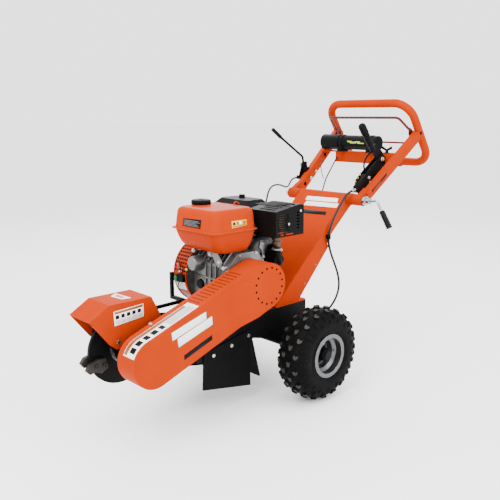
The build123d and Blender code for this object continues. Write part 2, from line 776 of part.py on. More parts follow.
def tank_shell(shrink):
    """The fuel tank's outside, drawn in by a wall thickness for its cavity."""
    seam = 700.0
    half_x, half_y = TANK_HALF_X - shrink, TANK_HALF_Y - shrink
    lower = [
        (616 + shrink, half_x - 28, half_y - 34, 30),
        (636, half_x - 22, half_y - 18, 32),
        (seam, half_x - 1, half_y - 1, 33),
    ]
    upper = [
        (seam, half_x, half_y, 33),
        (773, half_x - 9, half_y - 8, 28),
        (784 - shrink, half_x - 20, half_y - 20, 28),
    ]
    halves = []
    for rows in (lower, upper):
        faces = [Pos(TANK_X, TANK_Y, z) * RectangleRounded(2 * a, 2 * b, r) for z, a, b, r in rows]
        halves.append(loft(faces, ruled=True))
    return halves[0] + halves[1]


def fuel_tank():
    """Two-shell fuel tank with its seam flange and filler neck, hollow."""
    body = tank_shell(0)
    seam = Pos(TANK_X, TANK_Y, 698) * extrude(RectangleRounded(270, 236, 32), amount=4)
    neck = stub(FILLER[0], FILLER[1], 780, 785, 30)
    mouth = stub(FILLER[0], FILLER[1], 740, 800, 23)
    legs = []
    for x in (-70, 80):
        legs.append(block(x - 12, x + 12, -270, -230, 606, 626))
    return fuse([body, seam, neck] + legs) - tank_shell(2.5) - mouth


def fuel_cap():
    """Ribbed fuel cap over the filler neck."""
    base = (FILLER[0], FILLER[1], 785.5)
    top = stub(FILLER[0], FILLER[1], 785.5, 805.5, 38)
    plug = stub(FILLER[0], FILLER[1], 775, 786, 21)
    ribs = []
    for index in range(18):
        ribs.append(Pos(*base) * Rot(0, 0, 20 * index) * Pos(38, 0, 9) * Box(4, 5, 16))
    return fuse([top, plug] + ribs)


def air_cleaner():
    """Black two-piece air cleaner with a wing knob on top."""
    lower = block(-165, 48, -160, -20, 696, 730)
    levels = ((730, 214, 144), (768, 214, 144), (792, 168, 98))
    top = loft([Pos(-58.5, -90, z) * RectangleRounded(w, d, 20) for z, w, d in levels], ruled=True)
    knob = stub(-72, -74, 791, 805, 13)
    return fuse([lower, top, knob])


def carburettor():
    """Carburettor with its float bowl and the inlet pipe to the head."""
    body = block(-118, -70.5, -80, -40, 628, 696)
    bowl = stub(-92, -60, 600, 628, 22)
    return body + bowl


def muffler():
    """Muffler drum with its inlet elbow down to the exhaust port."""
    can = drum(-90, 724, 46, 78, 204)
    pipe_points = [(148, -90, 684), (148, -90, 622), (124, -52, 584), (83, -52, 584)]
    pipe = bent_bar(pipe_points, [26, 22], 15)
    clamp = Pos(148, -90, 634) * Cylinder(20, 10)
    return fuse([can, pipe, clamp])


def muffler_guard():
    """Black slotted heat guard around the muffler, open underneath."""
    side = [(-168, 668), (-12, 668), (-12, 786), (-40, 788), (-168, 768)]
    inner = [(-166, 600), (-14, 600), (-14, 784), (-40, 786), (-166, 766)]
    shell = slab(side, 66, 220) - slab(inner, 68, 218)
    cuts = []
    for index in range(9):
        cuts.append(block(216, 222, -158, -96, 684 + 8.5 * index, 688 + 8.5 * index))
    for index in range(6):
        cuts.append(block(216, 222, -52, -36, 694 + 12 * index, 700 + 12 * index))
    for y0, y1 in ((-142, -124), (-112, -70)):
        cuts.append(block(216, 222, y0, y1, 674, 679))
    for index in range(5):
        cuts.append(block(110, 190, -150 + 22 * index, -142 + 22 * index, 760, 792))
    return shell - cuts


def starter_grip():
    """Pull grip of the recoil starter, at rest in its guide."""
    half_root = math.sqrt(0.5)
    reach = 112.4 * half_root
    direction = (0, half_root, half_root)
    origin = (GRIP_X, CRANK_Y + reach, CRANK_Z + reach)
    place = Plane(origin=origin, z_dir=direction, x_dir=(0, -half_root, half_root))
    rope = extrude(place.offset(-16) * Circle(2.5), amount=17, dir=direction)
    stem = extrude(place * Circle(7), amount=14, dir=direction)
    bar = extrude(place.offset(14) * RectangleRounded(40, 16, 7), amount=16, dir=direction)
    return fuse([rope, stem, bar])


def engine_switch():
    """Rocker of the ignition switch on the fan housing's front."""
    return Pos(-159, CRANK_Y - 138.2, CRANK_Z - 18) * Box(16, 8, 22)


def choke_lever():
    """Choke lever beside the air cleaner."""
    hub = drum(-60, 664, 9, -132, -122)
    lever = slab([(-64, 662), (-56, 662), (-54, 690), (-66, 690)], -134, -130)
    tip = drum(-60, 684, 8, -144, -134)
    return fuse([hub, lever, tip])


def fuel_valve():
    """Fuel valve lever below the choke."""
    hub = drum(-60, 616, 8, -130, -120)
    lever = slab([(-64, 612), (-30, 612), (-30, 620), (-64, 620)], -134, -130)
    return hub + lever


def spark_plug_cap():
    """Spark plug cap on the upper side of the head."""
    start = cylinder_plane(205).origin + Vector(*cylinder_up) * 69.5
    end = start + Vector(*cylinder_up) * 24
    return rod(tuple(start), tuple(end), 10)


nodes["crankcase"] = crankcase()
nodes["crankcase_cover"] = crankcase_cover()
nodes["crankshaft"] = crankshaft()
nodes["flywheel"] = flywheel()
nodes["cylinder"] = cylinder()
nodes["valve_cover"] = valve_cover()
nodes["cylinder_shroud"] = cylinder_shroud()
nodes["fan_housing"] = fan_housing()
nodes["recoil_cover"] = recoil_cover()
nodes["fuel_tank"] = fuel_tank()
nodes["fuel_cap"] = fuel_cap()
nodes["air_cleaner"] = air_cleaner()
nodes["carburettor"] = carburettor()
nodes["muffler"] = muffler()
nodes["muffler_guard"] = muffler_guard()
nodes["starter_grip"] = starter_grip()
nodes["engine_switch"] = engine_switch()
nodes["choke_lever"] = choke_lever()
nodes["fuel_valve"] = fuel_valve()
nodes["spark_plug_cap"] = spark_plug_cap()


# ---------------------------------------------------------------- handle
arm_slope = math.radians(ARM_ANGLE)
arm_low = (ARM_LOWER_X, 402.0, PIVOT_Z)
arm_high = (ARM_UPPER_X, 759.0, 1051.0)


def arm_tube(start, end, wide, deep, extra=0.0):
    """A straight rectangular bar from start to end, its wide side along X."""
    run = Vector(*end) - Vector(*start)
    place = Plane(origin=start, x_dir=(run.Z, 0, -run.X), z_dir=run)
    return extrude(place.offset(-extra) * Rectangle(wide, deep), amount=run.length + 2 * extra, dir=run)


def loop_solid(radius):
    """The closed handle ring as a solid of the given tube radius."""
    down = Vector(0, LOOP_BOTTOM[0] - LOOP_TOP[0], LOOP_BOTTOM[1] - LOOP_TOP[1])
    middle = (0, (LOOP_TOP[0] + LOOP_BOTTOM[0]) / 2, (LOOP_TOP[1] + LOOP_BOTTOM[1]) / 2)
    across = Plane(origin=middle, x_dir=(1, 0, 0), z_dir=Vector(1, 0, 0).cross(down))
    path = (across * RectangleRounded(2 * LOOP_HALF, down.length, LOOP_CORNER)).face().outer_wire()
    start = Plane(origin=path @ 0, z_dir=path % 0)
    return sweep(start * Circle(radius), path=path)


loop_outer = loop_solid(LOOP_TUBE)
arm_step = Vector(0, math.cos(arm_slope), math.sin(arm_slope))
arm_start = tuple(Vector(*arm_low) + arm_step * 22)
arm_outer = arm_tube(arm_start, arm_high, ARM_WIDE, ARM_DEEP)


def handle_frame():
    """Upper frame: two arms with collars on the pivot, the cross channel and the bail's pins."""
    narrow, shallow = ARM_WIDE - 2 * ARM_WALL, ARM_DEEP - 2 * ARM_WALL
    arm = arm_outer - arm_tube(arm_start, arm_high, narrow, shallow, extra=-ARM_WALL)
    collar = drum(PIVOT_Y, PIVOT_Z, PIVOT_RADIUS, COLUMN_HALF + 13, PIVOT_HALF)
    root_outline = [(382, 742), (420, 752), (440, 800), (420, 816), (372, 788)]
    root = slab(root_outline, ARM_LOWER_X - 12, ARM_LOWER_X + 12)
    y, z = BAIL_PIVOT
    pin = drum(y, z, LEVER_PIN, 206, 226) + drum(y, z, 9, 203, 206)
    half = fuse([arm, collar, root, pin])
    shelf = block(-212, 212, 600, 664, 955, 960)
    lip = block(-125, 212, 600, 604, 908, 955)
    frame = fuse(both_sides(half) + [shelf, lip])
    frame = frame - drum(PIVOT_Y, PIVOT_Z, PIVOT_SHAFT_RADIUS + RUNNING_GAP, -300, 300)
    for distance in (62, 276):
        point = Vector(*arm_low) + arm_step * distance
        frame = frame - Pos(-ARM_LOWER_X, point.Y, point.Z) * Rot(0, 90, 0) * Cylinder(10, 70)
    return frame - loop_outer


def canister():
    """Document tube that lies across the handle on two saddles, open at its capped end."""
    y, z = TUBE_MIDDLE
    tube = ring(y, z, TUBE_RADIUS, TUBE_RADIUS - 2.5, -150, TUBE_END - 3)
    tube = tube + drum(y, z, TUBE_RADIUS, TUBE_END - 3, TUBE_END)
    saddles = [block(x, x + 16, y - 20, y + 20, 960, z - 20) for x in (-82, 84)]
    return tube + (fuse(saddles) - drum(y, z, TUBE_RADIUS, -200, 200))


def canister_cap():
    """Push-on cap of the document tube."""
    y, z = TUBE_MIDDLE
    return ring(y, z, TUBE_RADIUS + 3, TUBE_RADIUS + 0.05, -172, -90) + drum(y, z, TUBE_RADIUS + 3, -195, -172)


nodes["handle_loop"] = loop_outer - loop_solid(LOOP_TUBE - LOOP_WALL)
nodes["handle_frame"] = handle_frame()
nodes["canister"] = canister()
nodes["canister_cap"] = canister_cap()


# ---------------------------------------------------------------- controls

def bail():
    """Dark red operator-presence bail: a bent rod, its two pivot plates and a lower tie rod."""
    y, z = BAIL_PIVOT
    points = [
        (-218, y - 20, z + 10),
        (-BAIL_HALF, BAIL_BAR[0], BAIL_BAR[1]),
        (BAIL_HALF, BAIL_BAR[0], BAIL_BAR[1]),
        (218, y - 20, z + 10),
    ]
    bar = bent_bar(points, [18, 18], BAIL_ROD)
    plate_outline = [(y - 34, z + 6), (y - 26, z + 30), (y + 8, z + 10), (y + 2, z - 48), (y - 14, z - 48)]
    plates = both_sides(slab(plate_outline, 210, 214))
    tie = drum(y - 6, z - 42, 4.5, -212, 212)
    body = fuse([bar] + plates + [tie])
    return body - drum(y, z, LEVER_PIN + RUNNING_GAP, -300, 300)


def brake_bracket():
    """Black brake lever channel on the left arm's inner side, with its cable stop and pivot pin."""
    outer, inner = BRAKE_LEVER_X + 9, BRAKE_LEVER_X + 5
    left = inner - 23
    outline = [(372, 806), (398, 846), (556, 962), (584, 940), (580, 904), (424, 779), (392, 790)]
    plate = slab(outline, inner, outer)
    cheek = slab([(392, 822), (452, 822), (566, 918), (574, 940), (552, 956), (436, 880), (400, 852)], left, left + 4)
    shelf = block(left, inner, 392, 452, 822, 826)
    stop = block(left, inner, 384, 392, 796, 826)
    pin = drum(BRAKE_PIVOT[0], BRAKE_PIVOT[1], LEVER_PIN, left, inner)
    bosses = [drum(y, z, 9, outer - 1, 215) for y, z in ((452, 806), (520, 860))]
    return fuse([plate, shelf, cheek, stop, pin] + bosses) - arm_outer


def brake_lever():
    """Brake lever: a pressed blade on the pivot and a thick moulded grip with a rounded head."""
    y, z = BRAKE_PIVOT
    x = BRAKE_LEVER_X - 1
    hub = drum(y, z, 14, BRAKE_LEVER_X - 6, BRAKE_LEVER_X + 4)
    outline = [(y - 22, z - 16), (y + 6, z - 18), (y + 26, z - 4), (y + 6, z + 34), (512, 1006), (478, 988)]
    blade = slab(outline, BRAKE_LEVER_X - 5, BRAKE_LEVER_X + 3)
    grip = rod((x, 498, 976), (x, 424, 1068), 12.5)
    head = rod((x, 434, 1055), (x, 414, 1080), 17) + Pos(x, 414, 1080) * Sphere(17)
    body = fuse([hub, blade, grip, head])
    return body - drum(y, z, LEVER_PIN + RUNNING_GAP, 100, 300)


def throttle_bracket():
    """Throttle quadrant on the right arm's outer side with its friction pin and cable stop."""
    y, z = THROTTLE_PIVOT
    outline = [
        (y - 40, z - 68),
        (y - 30, z - 68),
        (y + 20, z - 28),
        (y + 14, z + 16),
        (y - 16, z + 16),
        (y - 40, z - 50),
    ]
    plate = slab(outline, THROTTLE_X + 6.5, THROTTLE_X + 10.5)
    foot = block(THROTTLE_X + 10.5, -210, y - 16, y + 12, z - 28, z - 10)
    pin = drum(y, z, LEVER_PIN, THROTTLE_X - 8, THROTTLE_X + 6.5)
    stop = block(THROTTLE_X - 8, THROTTLE_X + 10.5, y - 40, y - 34, z - 68, z - 50)
    return fuse([plate, foot, pin, stop]) - mirror(arm_outer, about=Plane.YZ)


def throttle_lever():
    """Bent throttle lever with its plastic tip."""
    y, z = THROTTLE_PIVOT
    hub = drum(y, z, 13, THROTTLE_X - 3, THROTTLE_X + 3)
    points = [(THROTTLE_X, y, z + 8), (THROTTLE_X, 484, 932), (THROTTLE_X, 330, 1028)]
    stem = bent_bar(points, [16], 5.5)
    tip = rod((THROTTLE_X, 330, 1028), (THROTTLE_X, 275, 1066), 8.5)
    body = fuse([hub, stem, tip])
    return body - drum(y, z, LEVER_PIN + RUNNING_GAP, -300, -200)


def clamp_lever():
    """Plated clamp handle: a hub on the pivot's left end and a bent rod."""
    y, z = PIVOT_Y, PIVOT_Z
    hub = drum(y, z, 20, PIVOT_HALF + 2.5, PIVOT_HALF + 14) + drum(y, z, 14, PIVOT_HALF + 14, PIVOT_HALF + 34)
    points = [(PIVOT_HALF + 30, y, z), (PIVOT_HALF + 70, y, z + 4), (PIVOT_HALF + 108, y, z - 56)]
    stem = bent_bar(points, [18], CLAMP_ROD)
    return hub + stem


def clamp_grip():
    """Ribbed black grip on the clamp handle's rod, a little thicker towards its end."""
    y, z = PIVOT_Y, PIVOT_Z
    start = Vector(PIVOT_HALF + 96, y, z - 37.05)
    run = (Vector(38, 0, -60)).normalized()
    parts = [rod(tuple(start), tuple(start + run * 80), 11)]
    for index in range(8):
        near = start + run * (5 + 10 * index)
        parts.append(rod(tuple(near), tuple(near + run * 5), 12.6 + 0.2 * index))
    return fuse(parts) - rod(tuple(start - run * 2), tuple(start + run * 22.8), CLAMP_ROD)


nodes["bail"] = bail()
nodes["brake_bracket"] = brake_bracket()
nodes["brake_lever"] = brake_lever()
nodes["throttle_bracket"] = throttle_bracket()
nodes["throttle_lever"] = throttle_lever()
nodes["clamp_lever"] = clamp_lever()
nodes["clamp_grip"] = clamp_grip()


# ---------------------------------------------------------------- cables
BRAKE_CABLE = [
    (166, 384, 806),
    (166, 336, 806),
    (163, 292, 754),
    (156, 256, 700),
    (150, 232, 640),
    (147, 232, 590),
    (149, 248, 540),
    (156, 268, 490),
    (163, 286, 440),
    (169, 288, 390),
    (172, 268, 345),
    (174, 230, 310),
    (175, 180, 285),
    (174, 130, 268),
    (172, 94, 254),
    (172, 58, 254),
]
THROTTLE_CABLE = [
    (-239, 452, 832),
    (-239, 416, 832),
    (-229, 384, 806),
    (-207, 346, 794),
    (-182, 300, 802),
    (-160, 250, 815),
    (-140, 200, 822),
    (-122, 150, 818),
    (-108, 115, 794),
    (-98, 96, 754),
    (-94, 70, 714),
    (-92, 34, 688),
    (-92, 0, 666),
    (-92, -40, 666),
]
STOP_WIRE = [
    (-112, 596, 930),
    (-98, 556, 905),
    (-84, 512, 872),
    (-70, 464, 836),
    (-64, 440, 795),
    (-62, 420, 750),
    (-62, 398, 710),
    (-62, 370, 672),
]

nodes["brake_cable"] = cable("brake_cable", BRAKE_CABLE, 5.0)
nodes["throttle_cable"] = cable("throttle_cable", THROTTLE_CABLE, 4.0)
nodes["stop_wire"] = cable("stop_wire", STOP_WIRE, 3.2)


# ---------------------------------------------------------------- fasteners
def bolt_set():
    """Bolt heads of the base, column, hood, flaps and engine, each a separate solid."""
    bolts = []
    for y, z in ((-431, 247), (-340, 264), (-250, 283)):
        for side in (1, -1):
            bolts.append(hexagon((side * (DECK_HALF + 5), y, z), (side, 0, 0), 13, 6))
    for y, z in ((-786, 366), (-648, 380)):
        for side in (1, -1):
            bolts.append(hexagon((side * HOOD_HALF, y, z), (side, 0, 0), 13, 7))
    for x in (-110, 110):
        for y in (20, 76):
            bolts.append(hexagon((x, y, DECK_TOP + PLATE), (0, 0, 1), 13, 6))
    for x in (-110, 0, 110):
        bolts.append(hexagon((x, FLAP_Y - FLAP_THICK, 320), (0, -1, 0), 10, 5))
    for x in (-76, 86):
        for y in (-323, -120):
            bolts.append(hexagon((x, y, DECK_TOP + FOOT_THICK), (0, 0, 1), 8, 5))
    for y, z in ((-310, 392), (-310, 548), (-262, 598), (-176, 598), (-136, 548), (-136, 392)):
        bolts.append(hexagon((CASE_X1 + 8, y, z), (1, 0, 0), 8, 4))
    return group(bolts)


nodes["bolts"] = bolt_set()


# ---------------------------------------------------------------- origin and files
overall = Compound(children=[Compound(children=shape.solids()) for shape in nodes.values()]).bounding_box()
to_origin = Pos(
    -(overall.min.X + overall.max.X) / 2,
    -(overall.min.Y + overall.max.Y) / 2,
    -overall.min.Z,
)
os.makedirs("parts", exist_ok=True)
for name, shape in nodes.items():
    export_step(to_origin * shape, f"parts/{name}.step")
print("nodes", len(nodes), "size", overall.size, "shift", to_origin.position)
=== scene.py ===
import json
import math

import bmesh
import bpy
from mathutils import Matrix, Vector


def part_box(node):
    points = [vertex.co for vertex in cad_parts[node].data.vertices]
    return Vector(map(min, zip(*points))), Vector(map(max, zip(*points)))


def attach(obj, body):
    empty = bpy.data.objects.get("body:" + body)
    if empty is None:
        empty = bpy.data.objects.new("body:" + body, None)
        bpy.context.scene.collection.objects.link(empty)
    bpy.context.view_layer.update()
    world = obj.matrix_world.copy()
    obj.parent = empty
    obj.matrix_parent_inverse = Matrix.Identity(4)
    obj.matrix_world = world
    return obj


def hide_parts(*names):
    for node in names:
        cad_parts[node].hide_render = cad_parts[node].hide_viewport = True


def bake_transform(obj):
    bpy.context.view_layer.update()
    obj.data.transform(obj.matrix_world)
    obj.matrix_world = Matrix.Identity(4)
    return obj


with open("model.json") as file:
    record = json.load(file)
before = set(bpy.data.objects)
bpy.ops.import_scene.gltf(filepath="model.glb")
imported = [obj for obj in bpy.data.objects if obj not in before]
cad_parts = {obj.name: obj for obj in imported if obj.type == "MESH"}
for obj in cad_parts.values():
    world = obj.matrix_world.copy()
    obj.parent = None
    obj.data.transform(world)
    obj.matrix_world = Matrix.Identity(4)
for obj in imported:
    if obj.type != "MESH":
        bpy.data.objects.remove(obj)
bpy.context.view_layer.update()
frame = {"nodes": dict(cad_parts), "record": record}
MM = 0.001

# The layout below is in millimetres from the point on the ground under the middle of the axle.
axle_low, axle_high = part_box("axle")
AXLE_Y = (axle_low.y + axle_high.y) / 2
AXLE_Z = (axle_low.z + axle_high.z) / 2
WHEEL_RADIUS = 190.0


def at(x, y, z):
    """A point given in millimetres from the ground under the axle, in the row frame's metres."""
    return Vector((x * MM, AXLE_Y + y * MM, AXLE_Z + (z - WHEEL_RADIUS) * MM))


# ---- materials
def new_material(name):
    material = bpy.data.materials.new(name)
    material.use_nodes = True
    tree = material.node_tree
    return material, tree, tree.nodes["Principled BSDF"]


def add_noise(tree, coords, scale, detail, rough):
    """A noise texture in the row frame, in features per metre."""
    noise = tree.nodes.new("ShaderNodeTexNoise")
    noise.inputs["Scale"].default_value = scale
    noise.inputs["Detail"].default_value = detail
    noise.inputs["Roughness"].default_value = rough
    tree.links.new(coords.outputs["Object"], noise.inputs["Vector"])
    return noise.outputs["Fac"]


def remap(tree, value, low, high, out_low=0.0, out_high=1.0):
    """A value carried from one range to another, held inside it."""
    node = tree.nodes.new("ShaderNodeMapRange")
    node.inputs["From Min"].default_value = low
    node.inputs["From Max"].default_value = high
    node.inputs["To Min"].default_value = out_low
    node.inputs["To Max"].default_value = out_high
    tree.links.new(value, node.inputs["Value"])
    return node.outputs["Result"]


def mix_color(tree, factor, first, second):
    """A colour between two, each a tuple or a socket."""
    node = tree.nodes.new("ShaderNodeMix")
    node.data_type = "RGBA"
    tree.links.new(factor, node.inputs[0])
    for socket, value in ((node.inputs[6], first), (node.inputs[7], second)):
        if isinstance(value, tuple):
            socket.default_value = (*value, 1.0)
        else:
            tree.links.new(value, socket)
    return node.outputs[2]


def edge_mask(tree, radius):
    """A bevelled normal, and how much of an edge each point is."""
    bevel = tree.nodes.new("ShaderNodeBevel")
    bevel.samples = 4
    bevel.inputs["Radius"].default_value = radius
    geometry = tree.nodes.new("ShaderNodeNewGeometry")
    dot = tree.nodes.new("ShaderNodeVectorMath")
    dot.operation = "DOT_PRODUCT"
    tree.links.new(bevel.outputs["Normal"], dot.inputs[0])
    tree.links.new(geometry.outputs["Normal"], dot.inputs[1])
    return bevel.outputs["Normal"], remap(tree, dot.outputs["Value"], 0.99, 0.80)


def surface(
    name, color, spread, rough, grain, bump, metallic=0.0, depth=0.0004, edge=0.0012, wear_and_highlight_color=None, wear_and_highlight_amount=0.4,
    blotch=9.0, dust=None, gloss=0.5,
):
    """A finish with colour drift, fine grain in bump and roughness, rounded edges, and a lighter edge colour
    that is edge wear on some finishes and a painted highlight on others.
    """
    material, tree, shader = new_material(name)
    coords = tree.nodes.new("ShaderNodeTexCoord")
    drift = add_noise(tree, coords, blotch, 4.0, 0.6)
    fine = add_noise(tree, coords, grain, 2.0, 0.5)
    dark = tuple(c * (1 - spread) for c in color)
    light = tuple(min(1.0, c * (1 + spread)) for c in color)
    tone = mix_color(tree, remap(tree, drift, 0.3, 0.7), dark, light)
    if dust:
        patch = add_noise(tree, coords, 26.0, 6.0, 0.7)
        tone = mix_color(tree, remap(tree, patch, 0.48, 0.75, 0.0, 0.55), tone, dust)
    normal, mask = edge_mask(tree, edge)
    # lighter colour on the edges: edge wear on the dark finishes, a painted highlight along the edges of the
    # tank, orange paint, tyre, rim and castings
    if wear_and_highlight_color:
        wear_and_highlight_noise = add_noise(tree, coords, 160.0, 3.0, 0.7)
        wear_and_highlight_share = tree.nodes.new("ShaderNodeMath")
        wear_and_highlight_share.operation = "MULTIPLY"
        tree.links.new(mask, wear_and_highlight_share.inputs[0])
        tree.links.new(remap(tree, wear_and_highlight_noise, 0.42, 0.66, 0.0, wear_and_highlight_amount), wear_and_highlight_share.inputs[1])
        tone = mix_color(tree, wear_and_highlight_share.outputs["Value"], tone, wear_and_highlight_color)
    tree.links.new(tone, shader.inputs["Base Color"])
    tree.links.new(remap(tree, fine, 0.3, 0.7, *rough), shader.inputs["Roughness"])
    shader.inputs["Metallic"].default_value = metallic
    shader.inputs["Specular IOR Level"].default_value = gloss
    relief = tree.nodes.new("ShaderNodeBump")
    relief.inputs["Strength"].default_value = bump
    relief.inputs["Distance"].default_value = depth
    tree.links.new(fine, relief.inputs["Height"])
    tree.links.new(normal, relief.inputs["Normal"])
    tree.links.new(relief.outputs["Normal"], shader.inputs["Normal"])
    return material


def printed(color, spread=0.03, **more):
    """The settings of a printed label's finish."""
    return dict(color=color, spread=spread, rough=(0.3, 0.42), grain=500.0, bump=0.03, **more)


BLACK = (0.0025, 0.0025, 0.0028)
# the finishes: colour, how far it drifts, roughness range, grain per metre and the rest of surface()
FINISHES = {
    # painted highlight: the lighter orange along the edges stands in for the light on the sheet edges
    "orange_paint": dict(
        color=(0.31, 0.0215, 0.0), spread=0.05, rough=(0.34, 0.44), grain=520.0, bump=0.18,
        wear_and_highlight_color=(0.48, 0.06, 0.01), gloss=0.01,
    ),
    # painted highlight: the pale orange along the tank's edges stands in for the light on them
    "tank_paint": dict(
        color=(0.32, 0.022, 0.0), spread=0.04, rough=(0.2, 0.28), grain=300.0, bump=0.06, edge=0.004,
        gloss=0.015, wear_and_highlight_color=(0.75, 0.20, 0.06), wear_and_highlight_amount=0.5,
    ),
    "engine_orange": dict(
        color=(0.28, 0.020, 0.0), spread=0.05, rough=(0.28, 0.38), grain=420.0, bump=0.12, edge=0.002,
        gloss=0.05,
    ),
    "black_paint": dict(
        color=BLACK, spread=0.25, rough=(0.35, 0.48), grain=480.0, bump=0.25, wear_and_highlight_color=(0.03, 0.03, 0.03),
        wear_and_highlight_amount=0.5, gloss=0.05,
    ),
    "red_rod": dict(
        color=(0.075, 0.002, 0.002), spread=0.1, rough=(0.22, 0.32), grain=500.0, bump=0.08, gloss=0.2,
    ),
    # painted highlight: the lighter grey along the knob edges stands in for the light on them
    "tyre": dict(
        color=(0.002, 0.002, 0.002), spread=0.3, rough=(0.45, 0.62), grain=1400.0, bump=0.35,
        wear_and_highlight_color=(0.03, 0.029, 0.028), wear_and_highlight_amount=0.9, dust=(0.0045, 0.0045, 0.0042), gloss=0.03,
    ),
    # painted highlight: the paler colour of the knob tops
    "tread_top": dict(
        color=(0.022, 0.021, 0.019), spread=0.35, rough=(0.5, 0.7), grain=1200.0, bump=0.35, gloss=0.12,
        blotch=30.0,
    ),
    # painted highlight: the bright colour along the edges of the dark rim stands in for the light on its
    # flanges
    "rim_silver": dict(
        color=(0.09, 0.092, 0.096), spread=0.15, metallic=0.9, rough=(0.22, 0.38), grain=800.0, bump=0.12,
        edge=0.003, wear_and_highlight_color=(0.42, 0.42, 0.43), wear_and_highlight_amount=1.0,
    ),
    "zinc": dict(
        color=(0.42, 0.415, 0.40), spread=0.2, metallic=1.0, rough=(0.25, 0.42), grain=700.0, bump=0.15,
    ),
    "chrome": dict(
        color=(0.40, 0.40, 0.41), spread=0.03, metallic=1.0, rough=(0.06, 0.12), grain=200.0, bump=0.02,
    ),
    "steel": dict(
        color=(0.20, 0.195, 0.19), spread=0.25, metallic=1.0, rough=(0.3, 0.5), grain=900.0, bump=0.15,
        dust=(0.10, 0.075, 0.055),
    ),
    "dark_steel": dict(
        color=(0.0035, 0.0033, 0.0033), spread=0.25, metallic=0.1, rough=(0.35, 0.5), grain=700.0,
        bump=0.2, wear_and_highlight_color=(0.05, 0.047, 0.045), wear_and_highlight_amount=0.7, gloss=0.05,
    ),
    "tooth": dict(
        color=(0.022, 0.019, 0.017), spread=0.3, metallic=0.7, rough=(0.4, 0.6), grain=500.0, bump=0.5,
        wear_and_highlight_color=(0.12, 0.11, 0.10), wear_and_highlight_amount=0.9,
    ),
    "belt": dict(
        color=(0.004, 0.004, 0.004), spread=0.2, rough=(0.6, 0.8), grain=1200.0, bump=0.4, gloss=0.1,
    ),
    "flap": dict(
        color=BLACK, spread=0.25, rough=(0.42, 0.6), grain=700.0, bump=0.3,
        dust=(0.004, 0.004, 0.004), gloss=0.03,
    ),
    # painted highlight: the bright colour along the edges stands in for the light on them
    "castings": dict(
        color=(0.15, 0.148, 0.145), spread=0.25, metallic=0.85, rough=(0.34, 0.55), grain=650.0,
        bump=0.55, depth=0.0006, dust=(0.03, 0.028, 0.026), wear_and_highlight_color=(0.42, 0.41, 0.40), wear_and_highlight_amount=0.8,
    ),
    "cast_iron": dict(
        color=(0.06, 0.06, 0.06), spread=0.2, metallic=0.6, rough=(0.5, 0.7), grain=600.0, bump=0.5,
    ),
    "black_plastic": dict(
        color=BLACK, spread=0.15, rough=(0.36, 0.5), grain=1500.0, bump=0.35,
        edge=0.002, gloss=0.05, wear_and_highlight_color=(0.02, 0.02, 0.02), wear_and_highlight_amount=0.5,
    ),
    "heat_black": dict(
        color=(0.0028, 0.0026, 0.0025), spread=0.2, rough=(0.34, 0.46), grain=900.0, bump=0.3,
        edge=0.0015, wear_and_highlight_color=(0.03, 0.029, 0.028), wear_and_highlight_amount=0.6, gloss=0.04,
    ),
    "exhaust": dict(
        color=(0.07, 0.05, 0.038), spread=0.25, metallic=0.9, rough=(0.35, 0.6), grain=300.0, bump=0.2,
        dust=(0.04, 0.026, 0.018),
    ),
    "grip": dict(
        color=(0.0028, 0.0028, 0.0028), spread=0.2, rough=(0.45, 0.65), grain=1500.0, bump=0.4,
        gloss=0.12,
    ),
    "cable_sheath": dict(
        color=(0.012, 0.012, 0.011), spread=0.2, rough=(0.35, 0.5), grain=900.0, bump=0.1, gloss=0.12,
    ),
    "switch": dict(color=(0.01, 0.20, 0.05), spread=0.1, rough=(0.25, 0.35), grain=600.0, bump=0.05),
    "label_white": printed((0.80, 0.79, 0.77)),
    "label_yellow": printed((0.55, 0.28, 0.0)),
    "label_dark": printed((0.004, 0.0045, 0.006), 0.1, gloss=0.05),
    "amber": dict(color=(0.20, 0.055, 0.008), spread=0.1, rough=(0.2, 0.3), grain=500.0, bump=0.03),
    "brass": dict(
        color=(0.62, 0.40, 0.12), spread=0.1, metallic=1.0, rough=(0.25, 0.4), grain=500.0, bump=0.1,
    ),
    "red_wire": dict(color=(0.40, 0.012, 0.010), spread=0.1, rough=(0.35, 0.45), grain=500.0, bump=0.05),
    "label_grey": printed((0.12, 0.118, 0.115), 0.05),
    "cowl_grey": dict(
        color=(0.02, 0.022, 0.025), spread=0.2, rough=(0.28, 0.4), grain=600.0, bump=0.2, edge=0.002,
        gloss=0.3,
    ),
    "lime": dict(color=(0.30, 0.38, 0.02), spread=0.1, rough=(0.35, 0.45), grain=500.0, bump=0.05),
}
MATERIALS = {name: surface(name, **finish) for name, finish in FINISHES.items()}

# nodes whose own finish is darker than their slot's
FINISH_OF = {"cutter_disc": "dark_steel", "tooth_bolts": "tooth", "axle": "black_paint"}
slot_of = {part["node"]: part["material_slot"] for part in frame["record"]["subparts"]}
for node_name, node in frame["nodes"].items():
    finish = MATERIALS[FINISH_OF.get(node_name, slot_of[node_name])]
    if not node.material_slots:
        node.data.materials.append(finish)
    for material_slot in node.material_slots:
        material_slot.material = finish


